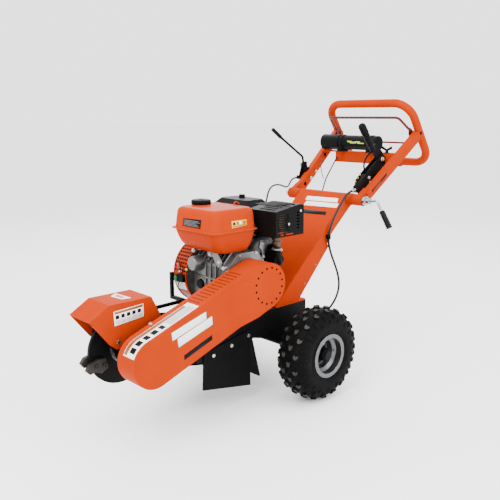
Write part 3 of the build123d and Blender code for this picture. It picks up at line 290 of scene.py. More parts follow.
# ---- mesh helpers
def piece(name, verts, faces, slot, body="chassis", finish=None, smooth=False, bevel=0.0, segments=2):
    """A new mesh object that rides a body; its points are in millimetres from under the axle."""
    mesh = bpy.data.meshes.new(name)
    mesh.from_pydata([at(*v) for v in verts], [], faces)
    work = bmesh.new()
    work.from_mesh(mesh)
    bmesh.ops.remove_doubles(work, verts=work.verts, dist=1e-7)
    bmesh.ops.recalc_face_normals(work, faces=work.faces)
    work.to_mesh(mesh)
    work.free()
    obj = bpy.data.objects.new(name, mesh)
    bpy.context.scene.collection.objects.link(obj)
    mesh.materials.append(MATERIALS[finish or slot])
    if bevel:
        modifier = obj.modifiers.new("edges", "BEVEL")
        modifier.width = bevel * MM
        modifier.segments = segments
        modifier.limit_method = "ANGLE"
        modifier.angle_limit = math.radians(35)
    if smooth or bevel:
        mesh.shade_smooth()
    if smooth:
        mesh.set_sharp_from_angle(angle=math.radians(38))
    if body:
        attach(obj, body)
    return obj


# directions, named from the operator's place behind the handle
LEFT, AHEAD, UP = (1, 0, 0), (0, -1, 0), (0, 0, 1)
CUBE_CORNERS = (
    (-1, -1, -1), (1, -1, -1), (1, 1, -1), (-1, 1, -1), (-1, -1, 1), (1, -1, 1), (1, 1, 1), (-1, 1, 1),
)
CUBE_FACES = [(0, 3, 2, 1), (4, 5, 6, 7), (0, 1, 5, 4), (1, 2, 6, 5), (2, 3, 7, 6), (3, 0, 4, 7)]


def rectangle(x0, x1, z0, z1):
    """The four corners of a rectangle."""
    return [(x0, z0), (x1, z0), (x1, z1), (x0, z1)]


class Shape:
    """Collects the points and faces of one piece."""

    def __init__(self):
        self.verts = []
        self.faces = []

    def add(self, verts, faces):
        base = len(self.verts)
        self.verts += [tuple(v) for v in verts]
        self.faces += [tuple(base + i for i in face) for face in faces]

    def loft(self, rings, closed=True, caps=True):
        """Rings of the same number of points, joined in order."""
        count = len(rings[0])
        verts = [v for ring in rings for v in ring]
        faces = []
        for row in range(len(rings) - 1):
            for i in range(count if closed else count - 1):
                j = (i + 1) % count
                faces.append((row * count + i, row * count + j, (row + 1) * count + j, (row + 1) * count + i))
        if caps:
            faces.append(tuple(range(count)))
            faces.append(tuple(range((len(rings) - 1) * count, len(rings) * count)))
        self.add(verts, faces)

    def prism_x(self, outline, x0, x1):
        """A (y, z) outline drawn out along X."""
        self.loft([[(x, y, z) for y, z in outline] for x in (x0, x1)])

    def prism_y(self, outline, y0, y1):
        """An (x, z) outline drawn out along Y."""
        self.loft([[(x, y, z) for x, z in outline] for y in (y0, y1)])

    def box(self, center, half):
        """A box by its centre and half sizes."""
        middle = Vector(center)
        reach = Vector(half)
        self.add([middle + reach * Vector(signs) for signs in CUBE_CORNERS], CUBE_FACES)

    def lathe(self, center, axis, profile, count=48, closed=False):
        """Rings of (distance along the axis, radius) turned about an axis through the centre."""
        axis = Vector(axis).normalized()
        side = axis.orthogonal().normalized()
        other = axis.cross(side)
        rings = []
        for along, radius in profile:
            ring = []
            for i in range(count):
                angle = 2 * math.pi * i / count
                spoke = side * math.cos(angle) + other * math.sin(angle)
                ring.append(Vector(center) + axis * along + spoke * radius)
            rings.append(ring)
        if closed:
            rings.append(rings[0])
        self.loft(rings, caps=not closed)

    def tube(self, points, radius, count=12, caps=True):
        """A round tube along points that are close together."""
        points = [Vector(p) for p in points]
        rings = []
        normal = None
        for i, point in enumerate(points):
            ahead = points[min(i + 1, len(points) - 1)] - points[max(i - 1, 0)]
            ahead.normalize()
            if normal is None:
                normal = ahead.orthogonal().normalized()
            normal = (normal - ahead * normal.dot(ahead)).normalized()
            other = ahead.cross(normal)
            ring = []
            for k in range(count):
                angle = 2 * math.pi * k / count
                ring.append(point + (normal * math.cos(angle) + other * math.sin(angle)) * radius)
            rings.append(ring)
        self.loft(rings, caps=caps)

    def wire(self, points, radius, count=8, resolution=8):
        """A round tube along the smooth curve of a few control points."""
        self.tube(spline_points(points, resolution), radius, count)

    def piece(self, name, slot, **options):
        return piece(name, self.verts, self.faces, slot, **options)


def spline_points(points, resolution):
    """Points on the smooth curve whose control points are given, in the same units."""
    curve = bpy.data.curves.new("route", "CURVE")
    curve.dimensions = "3D"
    spline = curve.splines.new("NURBS")
    spline.points.add(len(points) - 1)
    for target, point in zip(spline.points, points):
        target.co = (*point, 1.0)
    spline.order_u = 3
    spline.use_endpoint_u = True
    spline.resolution_u = resolution
    holder = bpy.data.objects.new("route", curve)
    bpy.context.scene.collection.objects.link(holder)
    mesh = bpy.data.meshes.new_from_object(holder)
    found = [vertex.co.copy() for vertex in mesh.vertices]
    bpy.data.objects.remove(holder)
    bpy.data.meshes.remove(mesh)
    bpy.data.curves.remove(curve)
    return found


def rounded_ring(center_x, center_y, z, half_x, half_y, radius, steps=8):
    """A level rounded rectangle."""
    ring = []
    for corner, (sx, sy) in enumerate(((1, 1), (-1, 1), (-1, -1), (1, -1))):
        for k in range(steps + 1):
            angle = math.pi / 2 * (corner + k / steps)
            x = center_x + sx * (half_x - radius) + radius * math.cos(angle)
            y = center_y + sy * (half_y - radius) + radius * math.sin(angle)
            ring.append((x, y, z))
    return ring


# ---- tyres
CARCASS = 181.5
KNOB_HEIGHT = 8.2
KNOB_PITCHES = 18


def tyre_profile():
    """The carcass cross-section from the inner bead over the crown to the outer bead, as (x, r)."""
    half = [(58, 77), (60.5, 80), (63, 88), (62.5, 93), (65, 97), (67.8, 110), (68.6, 124)]
    half += [(67.4, 138), (64, 151), (58, 163), (49, 172), (38, 177.5), (25, 180.3), (12, 181.3)]
    return [(-x, r) for x, r in half] + [(0, CARCASS)] + [(x, r) for x, r in reversed(half)]


PROFILE = tyre_profile()
CROWN = PROFILE.index((0, CARCASS))


def on_profile(along):
    """The (x, r) point and outward normal at an arc length from the crown."""
    step = 1 if along >= 0 else -1
    left = abs(along)
    i = CROWN
    while True:
        a, b = Vector(PROFILE[i]), Vector(PROFILE[i + step])
        run = (b - a).length
        if left <= run or i + 2 * step in (-1, len(PROFILE)):
            point = a + (b - a) * (left / run)
            ahead = (b - a).normalized() * step
            blend_with = Vector(PROFILE[i + 2 * step]) if 0 <= i + 2 * step < len(PROFILE) else b + (b - a)
            later = (blend_with - b).normalized() * step
            ahead = ahead.lerp(later, 0.5 * left / run).normalized()
            return point, Vector((-ahead.y, ahead.x))
        left -= run
        i += step


def knob(shape, center, outline, turn, height, draft=0.80, side=1):
    """A tread block: its outline is (arc length along the section, arc length round the tyre)."""
    rings = []
    for lift, share in ((-3.0, 1.06), (height * 0.72, draft + 0.05), (height, draft - 0.06)):
        ring = []
        for along, around in outline:
            spot, normal = on_profile(center + side * along * share)
            radius = spot.y + normal.y * lift
            angle = turn + around * share / CARCASS
            ring.append((spot.x + normal.x * lift, radius * math.cos(angle), radius * math.sin(angle)))
        rings.append(ring)
    shape.loft(rings)


CHEVRON = [(-13, -11), (-4, -16), (1, -7), (11, -15), (15, -4), (6, 10), (-2, 14), (-12, 5)]
HEART = [(-13, -5), (-9, -15), (0, -9), (9, -16), (14, -6), (10, 9), (1, 17), (-9, 10)]
SHOULDER = [(-11, -10), (9, -12), (15, -5), (13, 7), (-9, 11), (-13, 3)]
LUG = [(-11, -13), (2, -12), (13, -4), (12, 5), (3, 9), (-9, 3)]


# the rows of blocks: place across the tyre, outline, height
TREAD_ROWS = ((13, HEART, KNOB_HEIGHT), (40, CHEVRON, KNOB_HEIGHT), (63, SHOULDER, 7.0), (84, LUG, 3.6))
# fine moulding ribs on each sidewall: radius, place across, thickness
SIDEWALL_RIBS = ((101, 66.4, 1.2), (108, 68.0, 0.8), (86, 63.5, 1.4))
TYRE_SEGMENTS = 108
# how much of each knob top the painted highlight covers
HIGHLIT_TOP_SHARE = 0.68


def tread(shape, rows, scale=1.0, lift=0.0, **options):
    """All blocks of the given rows; every other row is half a pitch on."""
    half = math.pi / KNOB_PITCHES
    for step in range(KNOB_PITCHES):
        turn = 2 * half * step
        for index, (center, outline, height) in enumerate(rows):
            outline = [(along * scale, around * scale) for along, around in outline]
            near, far = (turn, turn + half) if index % 2 == 0 else (turn + half, turn)
            knob(shape, center, outline, near, height + lift, **options)
            knob(shape, -center, outline, far, height + lift, side=-1, **options)


def build_tyre(side_name, side):
    low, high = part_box("tyre_" + side_name)
    middle = (low.x + high.x) / 2 / MM
    lift = AXLE_Z / MM
    shape = Shape()
    angles = [2 * math.pi * i / TYRE_SEGMENTS for i in range(TYRE_SEGMENTS + 1)]
    inner = [(x * 0.86, r - 8) for x, r in PROFILE[2:-2]]
    rings = []
    for x, r in PROFILE + list(reversed(inner)):
        rings.append([(x, r * math.cos(a), r * math.sin(a)) for a in angles[:-1]])
    rings.append(rings[0])
    shape.loft(rings, caps=False)
    tread(shape, TREAD_ROWS)
    for sign in (1, -1):
        for radius, across, size in SIDEWALL_RIBS:
            rib = [(sign * across, radius * math.cos(a), radius * math.sin(a)) for a in angles]
            shape.tube(rib, size, 6, caps=False)
    # painted highlight: paler tops on the two middle rows stand in for the light on the knob tops
    tops = Shape()
    tread(tops, TREAD_ROWS[:2], HIGHLIT_TOP_SHARE, 0.35, draft=1.0)
    body = "wheel_" + side_name
    verts = [(middle + side * x, y, lift + z) for x, y, z in tops.verts]
    piece("tread_top_highlight_" + side_name, verts, tops.faces, "tyre", body=body, finish="tread_top")
    verts = [(middle + side * x, y, lift + z) for x, y, z in shape.verts]
    tyre = piece("tyre_tread_" + side_name, verts, shape.faces, "tyre", body=body, smooth=True)
    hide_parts("tyre_" + side_name)


WHEEL_BOLTS, BOLT_CIRCLE = 4, 41


def build_hub(side_name, side):
    """Black hub cap and the wheel bolts."""
    low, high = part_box("rim_" + side_name)
    middle = (low.x + high.x) / 2 / MM
    outer = (side * 4 + middle, 0, WHEEL_RADIUS)
    shape = Shape()
    cap = [(0, 21), (0, 31), (8, 31), (11, 28), (30, 27), (40, 26), (47, 22), (48, 20)]
    shape.lathe(outer, (side, 0, 0), cap, 48)
    shape.piece("hub_cap_" + side_name, "black_paint", body="wheel_" + side_name, smooth=True)
    bolts = Shape()
    for i in range(WHEEL_BOLTS):
        angle = 2 * math.pi * (i + 0.5) / WHEEL_BOLTS
        spot = (middle, BOLT_CIRCLE * math.cos(angle), WHEEL_RADIUS + BOLT_CIRCLE * math.sin(angle))
        bolts.lathe(spot, (side, 0, 0), [(-2, 8), (6, 8), (7, 7), (7, 4), (11, 4), (11.5, 3)], 6)
    bolts.piece("wheel_bolts_" + side_name, "zinc", body="wheel_" + side_name)


for side_name, side in (("left", 1), ("right", -1)):
    build_tyre(side_name, side)
    build_hub(side_name, side)


# ---- fuel tank
TANK_X = 10.0
CAP_X, CAP_Y = -66.0, -300.0
CAP_STEPS, KNURL_STEPS, KNURL_DEPTH = 120, 5, 1.6


def build_tank():
    """Two pressed shells with soft corners, a rolled seam flange and a neck."""
    shape = Shape()
    # each level is its height, front and rear in Y, half width and corner radius
    levels = (
        (612, -330, -222, 88, 24), (612.6, -338, -214, 94, 26), (615, -350, -208, 100, 30),
        (620, -361, -202, 105, 31), (630, -375, -197, 111, 32), (645, -387, -192, 116, 32),
        (665, -396, -188, 121, 31), (688, -403, -184, 125, 30), (697.5, -405, -183, 126, 30),
        (698, -414, -180, 134, 30), (699, -416, -179, 136, 30), (701.5, -416, -179, 136, 30),
        (702.5, -414, -180, 134, 30), (703, -406.5, -184, 127, 30), (706, -405.5, -184.5, 126, 30),
        (740, -401.5, -186.5, 123, 29), (765, -398.5, -188.5, 120, 28), (773, -396, -190.5, 118, 28),
        (779, -391, -195, 114, 28), (782.5, -384, -201, 108, 28), (784, -372, -212, 98, 28),
        (785.5, -330, -250, 60, 24),
    )
    shape.loft([rounded_ring(TANK_X, (a + b) / 2, z, half, (b - a) / 2, r) for z, a, b, half, r in levels])
    tank = shape.piece("tank_shells", "tank_paint", smooth=True)
    neck = Shape()
    neck.lathe((CAP_X, CAP_Y, 780), UP, [(0, 38), (4, 37), (7, 35), (9, 33), (9, 24), (2, 24)], 40)
    neck.piece("tank_neck", "tank_paint", smooth=True)
    legs = Shape()
    for x in (-70, 80):
        legs.box((x, -250, 615), (12, 20, 9))
    legs.piece("tank_feet", "castings", bevel=1.5)
    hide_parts("fuel_tank")


build_tank()


def build_fuel_cap():
    """Cap with a knurled skirt and a raised top."""
    center = (CAP_X, CAP_Y, 785.5)
    shape = Shape()
    rings = []
    for z, radius, knurl in (
        (0, 36, 0), (0.5, 38, 1), (3, 39.6, 1), (13, 39.2, 1), (16, 37.5, 1), (18, 34, 0), (18.6, 30, 0),
        (17.4, 27, 0), (17.2, 12, 0), (19.4, 9, 0), (19.6, 2, 0),
    ):
        ring = []
        for i in range(CAP_STEPS):
            angle = 2 * math.pi * i / CAP_STEPS
            r = radius - knurl * (KNURL_DEPTH if i % KNURL_STEPS in (0, 1) else 0.0)
            ring.append((center[0] + r * math.cos(angle), center[1] + r * math.sin(angle), center[2] + z))
        rings.append(ring)
    shape.loft(rings)
    cap = shape.piece("fuel_cap_knurled", "black_plastic", body="fuel_cap", smooth=True)
    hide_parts("fuel_cap")


build_fuel_cap()


# ---- cables
def cable_piece(name, points, radius, node):
    """A smooth cable from the chassis to the handle, baked where it lies and riding no body."""
    shape = Shape()
    shape.wire(points, radius, 14)
    cable = shape.piece(name, "cable_sheath", body=None, smooth=True)
    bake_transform(cable)
    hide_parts(node)


BRAKE_CABLE = [
    (166, 384, 806), (166, 336, 806), (163, 292, 754), (156, 256, 700), (150, 232, 640), (147, 232, 590),
    (149, 248, 540), (156, 268, 490), (163, 286, 440), (169, 288, 390), (172, 268, 345), (174, 230, 310),
    (175, 180, 285), (174, 130, 268), (172, 94, 254), (172, 58, 254),
]
THROTTLE_CABLE = [
    (-239, 452, 832), (-239, 416, 832), (-229, 384, 806), (-207, 346, 794), (-182, 300, 802),
    (-160, 250, 815), (-140, 200, 822), (-122, 150, 818), (-108, 115, 794), (-98, 96, 754),
    (-94, 70, 714), (-92, 34, 688), (-92, 0, 666), (-92, -40, 666),
]
STOP_WIRE = [
    (-112, 596, 930), (-98, 556, 905), (-84, 512, 872), (-70, 464, 836), (-64, 440, 795), (-62, 420, 750),
    (-62, 398, 710), (-62, 370, 672),
]
cable_piece("brake_cable_sheath", BRAKE_CABLE, 5.0, "brake_cable")
cable_piece("throttle_cable_sheath", THROTTLE_CABLE, 4.0, "throttle_cable")
cable_piece("stop_wire_sheath", STOP_WIRE, 3.2, "stop_wire")


# ---- plates, strips and small hardware
def plate(name, corners, slot, thick, body="chassis"):
    """A thin flat plate lifted off the plane of its corners, which run anticlockwise seen from outside."""
    points = [Vector(c) for c in corners]
    normal = (points[1] - points[0]).cross(points[2] - points[0]).normalized()
    shape = Shape()
    shape.loft([[p - normal * 0.2 for p in points], [p + normal * thick for p in points]])
    return shape.piece(name, slot, body=body, bevel=0.15, segments=1)


def between(corners, u0, u1, v0, v1):
    """A smaller four-cornered outline inside another, by shares of its width and height."""
    a, b, c, d = (Vector(p) for p in corners)

    def spot(u, v):
        return a.lerp(b, u).lerp(d.lerp(c, u), v)

    return [spot(u0, v0), spot(u1, v0), spot(u1, v1), spot(u0, v1)]


def screw_heads(name, spots, direction, radius, height, slot="zinc", body="chassis", sides=6):
    """Bolt heads with washers at several points, all facing one way."""
    shape = Shape()
    washer = [(-1, radius * 1.35), (1.2, radius * 1.35), (1.3, radius * 0.9)]
    head = [(1.0, radius), (height * 0.8, radius), (height, radius * 0.86), (height, radius * 0.3)]
    for spot in spots:
        shape.lathe(spot, direction, washer, 20)
        shape.lathe(spot, direction, head, sides)
    return shape.piece(name, slot, body=body)


CUTTER = Vector((0, -738.0, 314.0))
CRANK = Vector((0, -224.0, 496.0))
ALONG = (CRANK - CUTTER).normalized()
ACROSS = Vector((0, -ALONG.z, ALONG.y))
GUARD_EDGE = 87.0
GUARD_FACE = 222.0
# where the guard's flat edge opens: the dark sheet of painted shade behind it runs between these two places
# along the belt
OPEN_FROM, OPEN_TO = 222, 470
VENTS, VENT_CIRCLE = 16, 69.5
SLOT_ROWS, SLOT_COLUMNS = 13, 5
FIRST_SLOT = (142, 232)
SLOT_PITCH = (13, 19)


def guard_at(x, along, across):
    """A point by its distance along the belt from the cutter and across it."""
    return CUTTER + ALONG * along + ACROSS * across + Vector((x, 0, 0))


def guard_rim(x, travel, lift=0.0):
    """A point on the guard's rim: negative travel goes round the nose, positive up the straight edge."""
    edge = GUARD_EDGE + lift
    if travel >= 0:
        return guard_at(x, travel, edge)
    turn = -travel / GUARD_EDGE
    return guard_at(x, -edge * math.sin(turn), edge * math.cos(turn))


def rim_strip(name, x0, x1, start, end, slot, lift=0.5):
    """A thin strip wrapped along the guard's rim."""
    steps = max(2, int(abs(end - start) / 6))
    shape = Shape()
    rings = []
    for i in range(steps + 1):
        travel = start + (end - start) * i / steps
        rings.append([guard_rim(x, travel, height) for x, height in rectangle(x0, x1, -0.3, lift)])
    shape.loft(rings)
    return shape.piece(name, slot)


def build_guard_shade():
    """Painted shade: a dark sheet behind the guard's slots and vent holes, and dark rings and patches at the
    holes, where the guard's inside is in shade.
    """
    shade_sheet = Shape()
    section = rectangle(137, 203, -6.0, -3.4)
    shade_sheet.loft([[guard_rim(x, along, lift) for x, lift in section] for along in (OPEN_FROM, OPEN_TO)])
    ring = [(0, 58), (0, 80), (1.6, 80), (1.6, 58)]
    shade_sheet.lathe((236.5, CRANK.y, CRANK.z), LEFT, ring, 48, closed=True)
    shade_sheet.piece("guard_shade_sheet", "heat_black")
    # painted shade: dark rings round the vent holes and dark patches in the slots
    hole_shade = Shape()
    for i in range(VENTS):
        turn = 2 * math.pi * (i + 0.5) / VENTS
        spot = (242.2, CRANK.y + VENT_CIRCLE * math.cos(turn), CRANK.z + VENT_CIRCLE * math.sin(turn))
        hole_shade.lathe(spot, LEFT, [(-3, 3.4), (-3, 4.3), (0.2, 4.3), (0.2, 3.4)], 16, closed=True)
    for row in range(SLOT_ROWS):
        along = FIRST_SLOT[1] + SLOT_PITCH[1] * row
        for column in range(SLOT_COLUMNS):
            x = FIRST_SLOT[0] + SLOT_PITCH[0] * column
            section = rectangle(x - 4.6, x + 4.6, -0.6, 0.2)
            ends = (along - 2.1, along + 2.1)
            hole_shade.loft([[guard_rim(across, t, lift) for across, lift in section] for t in ends])
    hole_shade.piece("guard_hole_shade", "heat_black")


def build_guard_labels():
    rim_strip("rim_label", 150, 213, -72, 236, "label_white", 0.5)
    rim_strip("rim_label_header", 152, 169, -68, 214, "amber", 0.8)
    for i, (start, size) in enumerate(((-56, 20), (-26, 22), (8, 20), (40, 24), (76, 18))):
        rim_strip("rim_sign_%d" % i, 176, 204, start, start + size, "label_dark", 0.8)
    for i in range(6):
        rim_strip("rim_line_%d" % i, 174 + 6 * i, 176.5 + 6 * i, 108, 222, "label_grey", 0.8)
    # slanted plain bars on the flat side
    rows = (
        ("side_bar_top", [(89, 39), (244, 30), (251, 57), (95, 66)], "label_white"),
        ("side_bar_low", [(103, 3), (262, -3), (269, 27), (109, 33)], "label_white"),
        ("side_bar_dark", [(107, -55), (241, -55), (246, -38), (111, -38)], "label_dark"),
    )
    for name, outline, slot in rows:
        if slot == "label_white":
            outward = ((-3, -3), (3, -3), (3, 3), (-3, 3))
            back = [guard_at(GUARD_FACE, u + du, v + dv) for (u, v), (du, dv) in zip(outline, outward)]
            plate(name + "_edge", back, "amber", 0.35)
        plate(name, [guard_at(GUARD_FACE, *spot) for spot in outline], slot, 0.6)


def build_hood_labels():
    corners = [(68, -796, 424), (68, -677, 434), (68, -677, 481), (68, -798, 475)]
    plate("hood_label", corners, "label_white", 0.5)
    plate("hood_label_header", between(corners, 0.02, 0.98, 0.78, 0.97), "amber", 0.7)
    for i in range(5):
        start = 0.05 + 0.185 * i
        plate("hood_sign_%d" % i, between(corners, start, start + 0.12, 0.42, 0.70), "label_dark", 0.7)
        for k in range(3):
            low = 0.08 + 0.10 * k
            line = between(corners, start, start + 0.15, low, low + 0.04)
            plate("hood_line_%d_%d" % (i, k), line, "label_grey", 0.7)
    # the hood's top falls 1 mm over its 172 mm
    top = [(-32, -746), (26, -738), (34, -704), (-58, -711)]
    top = [(x, y, 500 - (y + 814) / 172) for x, y in top]
    plate("hood_top_label", top, "label_white", 0.5)
    plate("hood_top_sign", between(top, 0.2, 0.8, 0.25, 0.75), "amber", 0.7)


def web_at(x, up):
    """A point on the column's front face by its distance up the slope."""
    slope = math.atan2(422.0, 439.0)
    return Vector((x, -77 + up * math.cos(slope), 366 + up * math.sin(slope)))


def build_column_details():
    rows = (
        ("column_bar_top", [(-68, 551), (115, 558), (107, 581), (-71, 575)], "label_white"),
        ("column_bar_low", [(-59, 521), (136, 529), (127, 552), (-57, 546)], "label_white"),
        ("column_bar_dark", [(-38, 476), (96, 482), (88, 501), (-48, 498)], "label_dark"),
    )
    for name, outline, slot in rows:
        plate(name, [web_at(min(x, 128), up) for x, up in outline], slot, 0.6)
    tab = Shape()
    tab.prism_x([(227, 584), (235, 580), (240, 600), (240, 640), (232, 646), (227, 636)], 137, 139.5)
    tab.prism_x([(230, 606), (238, 606), (238, 626), (230, 626)], 138, 148)
    tab.piece("cable_tab", "orange_paint", bevel=0.6)
    clip = Shape()
    sleeve = [(0, 5), (0, 8.5), (1.5, 9.5), (20, 9.5), (21.5, 8.5), (21.5, 5)]
    clip.lathe((148.6, 232.2, 604), (-0.03, 0.04, 1), sleeve, 28, closed=True)
    clip.loft([rounded_ring(142, 233, z, 7, 6, 2.5, 4) for z in (607, 623)])
    clip.piece("cable_clip", "black_plastic", smooth=True)
    screw_heads("guard_nut", [(125, -688, 418)], LEFT, 8, 9)
    rivets = [(138, 160, 502), (138, 92, 430)]
    screw_heads("column_rivets", rivets, LEFT, 2.6, 3, slot="castings", sides=16)


def build_tank_labels():
    corners = [(-52, -405.4, 713), (56, -405.4, 713), (58, -401.5, 746), (-50, -401.5, 742)]
    plate("tank_plate", corners, "label_dark", 0.6)
    for i in range(5):
        low = 0.14 + 0.15 * i
        line = between(corners, 0.06, 0.94 - 0.09 * (i % 3), low, low + 0.055)
        plate("tank_plate_line_%d" % i, line, "label_grey", 0.75)
    corners = [(135.6, -318, 714), (135.6, -241, 718), (133.6, -241, 741), (133.6, -318, 741)]
    plate("tank_notice", corners, "label_yellow", 0.8)
    for i, slot in enumerate(("label_dark", "amber", "label_white", "amber")):
        start = 0.08 + 0.22 * i
        plate("tank_notice_sign_%d" % i, between(corners, start, start + 0.15, 0.38, 0.80), slot, 0.95)
    plate("tank_notice_line", between(corners, 0.08, 0.92, 0.14, 0.22), "label_dark", 0.95)
    loop = Shape()
    loop.wire([(30, -214, 782), (30, -208, 794), (30, -196, 794), (30, -184, 784)], 3.2, 10, resolution=6)
    loop.piece("tank_vent", "engine_orange", smooth=True)


build_guard_shade()
build_guard_labels()
build_hood_labels()
build_column_details()
build_tank_labels()


# ---- engine details
FAN_RADIUS = 134.0
FAN_ROWS, FAN_COLUMNS = 9, 5


def fan_at(x, turn, lift=0.0):
    """A point on the blower housing; the turn runs up from its front, in degrees."""
    radius = FAN_RADIUS + lift
    turn = math.radians(turn)
    return Vector((x, CRANK.y - radius * math.cos(turn), CRANK.z + radius * math.sin(turn)))


def fan_patch(shape, x0, x1, start, end, low=-0.4, high=0.5, steps=4):
    """A thin curved patch on the blower housing."""
    rings = []
    for i in range(steps + 1):
        turn = start + (end - start) * i / steps
        rings.append([fan_at(x, turn, lift) for x, lift in rectangle(x0, x1, low, high)])
    shape.loft(rings)


def build_fan_details():
    # painted shade: dark patches over the housing's slots stand in for the shade inside them
    slot_shade = Shape()
    for row in range(FAN_ROWS):
        start = 6.0 + 6.6 * row
        for column in range(FAN_COLUMNS):
            x0 = -171 + 14.4 * column
            fan_patch(slot_shade, x0, x0 + 10.4, start, start + 3.6, -0.4, 0.4, 2)
    slot_shade.piece("fan_slot_shade", "heat_black")
    rim = Shape()
    for x in (-175.5, -97.5):
        fan_ring = [fan_at(x, 360 * i / 96, 1.0) for i in range(97)]
        rim.tube(fan_ring, 2.0, 8, caps=False)
    rim.piece("fan_beads", "engine_orange", smooth=True)
    label = Shape()
    fan_patch(label, -170, -112, -29, -10.5)
    label.piece("fan_label", "label_white")
    lines = Shape()
    for i in range(6):
        start = -27 + 2.5 * i
        fan_patch(lines, -166, -116 - 6 * (i % 3), start, start + 0.9, 0.3, 0.75, 1)
    lines.piece("fan_label_lines", "label_grey")
    header = Shape()
    fan_patch(header, -170, -112, -10.3, -8.6, -0.2, 0.7, 1)
    fan_patch(header, -170, -112, -31, -29.2, -0.2, 0.7, 1)
    header.piece("fan_label_border", "label_dark")
    box = Shape()
    levels = ((-361, 470), (-362, 474), (-363, 496), (-361, 500))
    box.loft([rounded_ring(-124, y, z, 20, 8, 4, 4) for y, z in levels])
    box.loft([rounded_ring(-159, -357, z, 13, 5, 3, 4) for z in (464, 492)])
    box.piece("switch_housing", "black_plastic", smooth=True)
    wires = Shape()
    wires.wire([(-120, -366, 496), (-108, -374, 520), (-124, -372, 546), (-150, -356, 560)], 2.2)
    wires.wire([(-128, -366, 472), (-140, -372, 452), (-132, -360, 420), (-118, -340, 404)], 2.2)
    long_wire = [(-108, -364, 490), (-80, -352, 505), (-44, -334, 541), (-10, -331, 566), (20, -330, 580)]
    wires.wire(long_wire, 2.4)
    wires.wire([(80, -332, 566), (70, -330, 548), (58, -326, 530), (44, -324, 500)], 2.2)
    wires.piece("engine_wires", "cable_sheath", smooth=True)
    red = Shape()
    lead = [(-150, -354, 512), (-142, -362, 524), (-128, -364, 530), (-118, -358, 522)]
    red.wire(lead, 3.0, resolution=6)
    red.lathe((-141, -358, 536), (0.2, -1, 0.3), [(0, 8), (5, 8), (8, 6), (9, 3)], 18)
    red.piece("ignition_lead", "red_wire", smooth=True)
    fittings = Shape()
    fittings.lathe((-124, -362, 512), (0.3, -1, 0.2), [(0, 7), (4, 7), (5, 5), (12, 4.5), (13, 3)], 6)
    fittings.lathe((-102, -352, 522), (1, -0.6, 0.1), [(0, 5), (6, 5), (7, 7), (11, 7), (12, 4)], 6)
    fittings.piece("brass_fittings", "brass")


def build_case_details():
    """Bosses, ribs, bracket and plugs on the crankcase's front."""
    front = -318.0
    boss = Shape()
    boss.lathe((-58, front + 2, 553), AHEAD, [(0, 34), (12, 31), (40, 29), (44, 26), (46, 20), (46.5, 8)], 40)
    boss.lathe((-40, front + 2, 470), AHEAD, [(0, 30), (6, 27), (10, 26), (11, 22), (7, 20), (7, 6)], 36)
    boss.lathe((72, front + 2, 430), AHEAD, [(0, 24), (8, 22), (20, 20), (22, 17), (22, 5)], 32)
    bolt_spots = ((-84, 392), (-84, 600), (96, 392), (20, 392), (98, 556))
    for x, z in bolt_spots:
        boss.lathe((x, front + 2, z), AHEAD, [(0, 11), (10, 9.5), (12, 8.5), (12, 3)], 20)
    boss.piece("case_bosses", "castings", smooth=True)
    ribs = Shape()
    for x, z0, z1 in ((-16, 380, 556), (14, 380, 560), (46, 450, 560)):
        ribs.prism_y([(x - 3, z0), (x + 3, z0), (x + 2, z1), (x - 2, z1)], front + 1, front - 7)
    for z, x0, x1 in ((500, -90, 104), (446, -12, 100), (404, -88, 60)):
        ribs.prism_y(rectangle(x0, x1, z - 3, z + 3), front + 1, front - 6)
    for x in range(-80, 100, 24):
        ribs.loft([[(x - 2.5, -316, 560), (x + 2.5, -316, 560), (x + 2.5, -272, 607), (x - 2.5, -272, 607)],
                   [(x - 1.5, -324, 566), (x + 1.5, -324, 566), (x + 1.5, -276, 616), (x - 1.5, -276, 616)]])
    ribs.piece("case_ribs", "castings", bevel=1.2)
    bracket = Shape()
    outline = [(6, 616), (70, 616), (78, 600), (95, 577), (90, 562), (71, 556)]
    outline += [(52, 574), (42, 592), (10, 590)]
    bracket.prism_y(outline, -330, -334)
    bracket.prism_y([(8, 612), (8, 616), (68, 616), (68, 612)], -332, -300)
    bracket.piece("tank_bracket", "castings", bevel=1.0)
    right_bracket = Shape()
    right_bracket.prism_y([(-60, 606), (-36, 606), (-30, 628), (-66, 628)], -312, -330)
    right_bracket.piece("tank_bracket_right", "castings", bevel=1.5)
    plug = Shape()
    plug.lathe((-40, front - 8, 470), AHEAD, [(0, 20), (8, 19), (10, 16), (10, 6)], 24)
    plug.lathe((72, front - 20, 430), AHEAD, [(0, 14), (10, 13), (12, 10), (12, 4)], 12)
    plug.piece("oil_plugs", "black_plastic", smooth=True)
    spots = [(x, front - 10, z) for x, z in bolt_spots]
    spots += [(80, -334, 578), (28, -334, 602), (-48, -330, 618)]
    screw_heads("case_bolts", spots, AHEAD, 6, 6)
    # painted shade: dark flat patches on the case's front stand in for its shaded recesses and gaps
    case_shade = Shape()
    case_shade_sides = (
        (20, 42, 508, 552), (-12, 10, 508, 548), (52, 98, 456, 494), (-10, 40, 412, 440), (54, 96, 508, 548),
    )
    for sides in case_shade_sides:
        case_shade.prism_y(rectangle(*sides), front + 0.5, front - 0.6)
    case_shade.piece("case_recess_shade", "cast_iron", bevel=0.3)


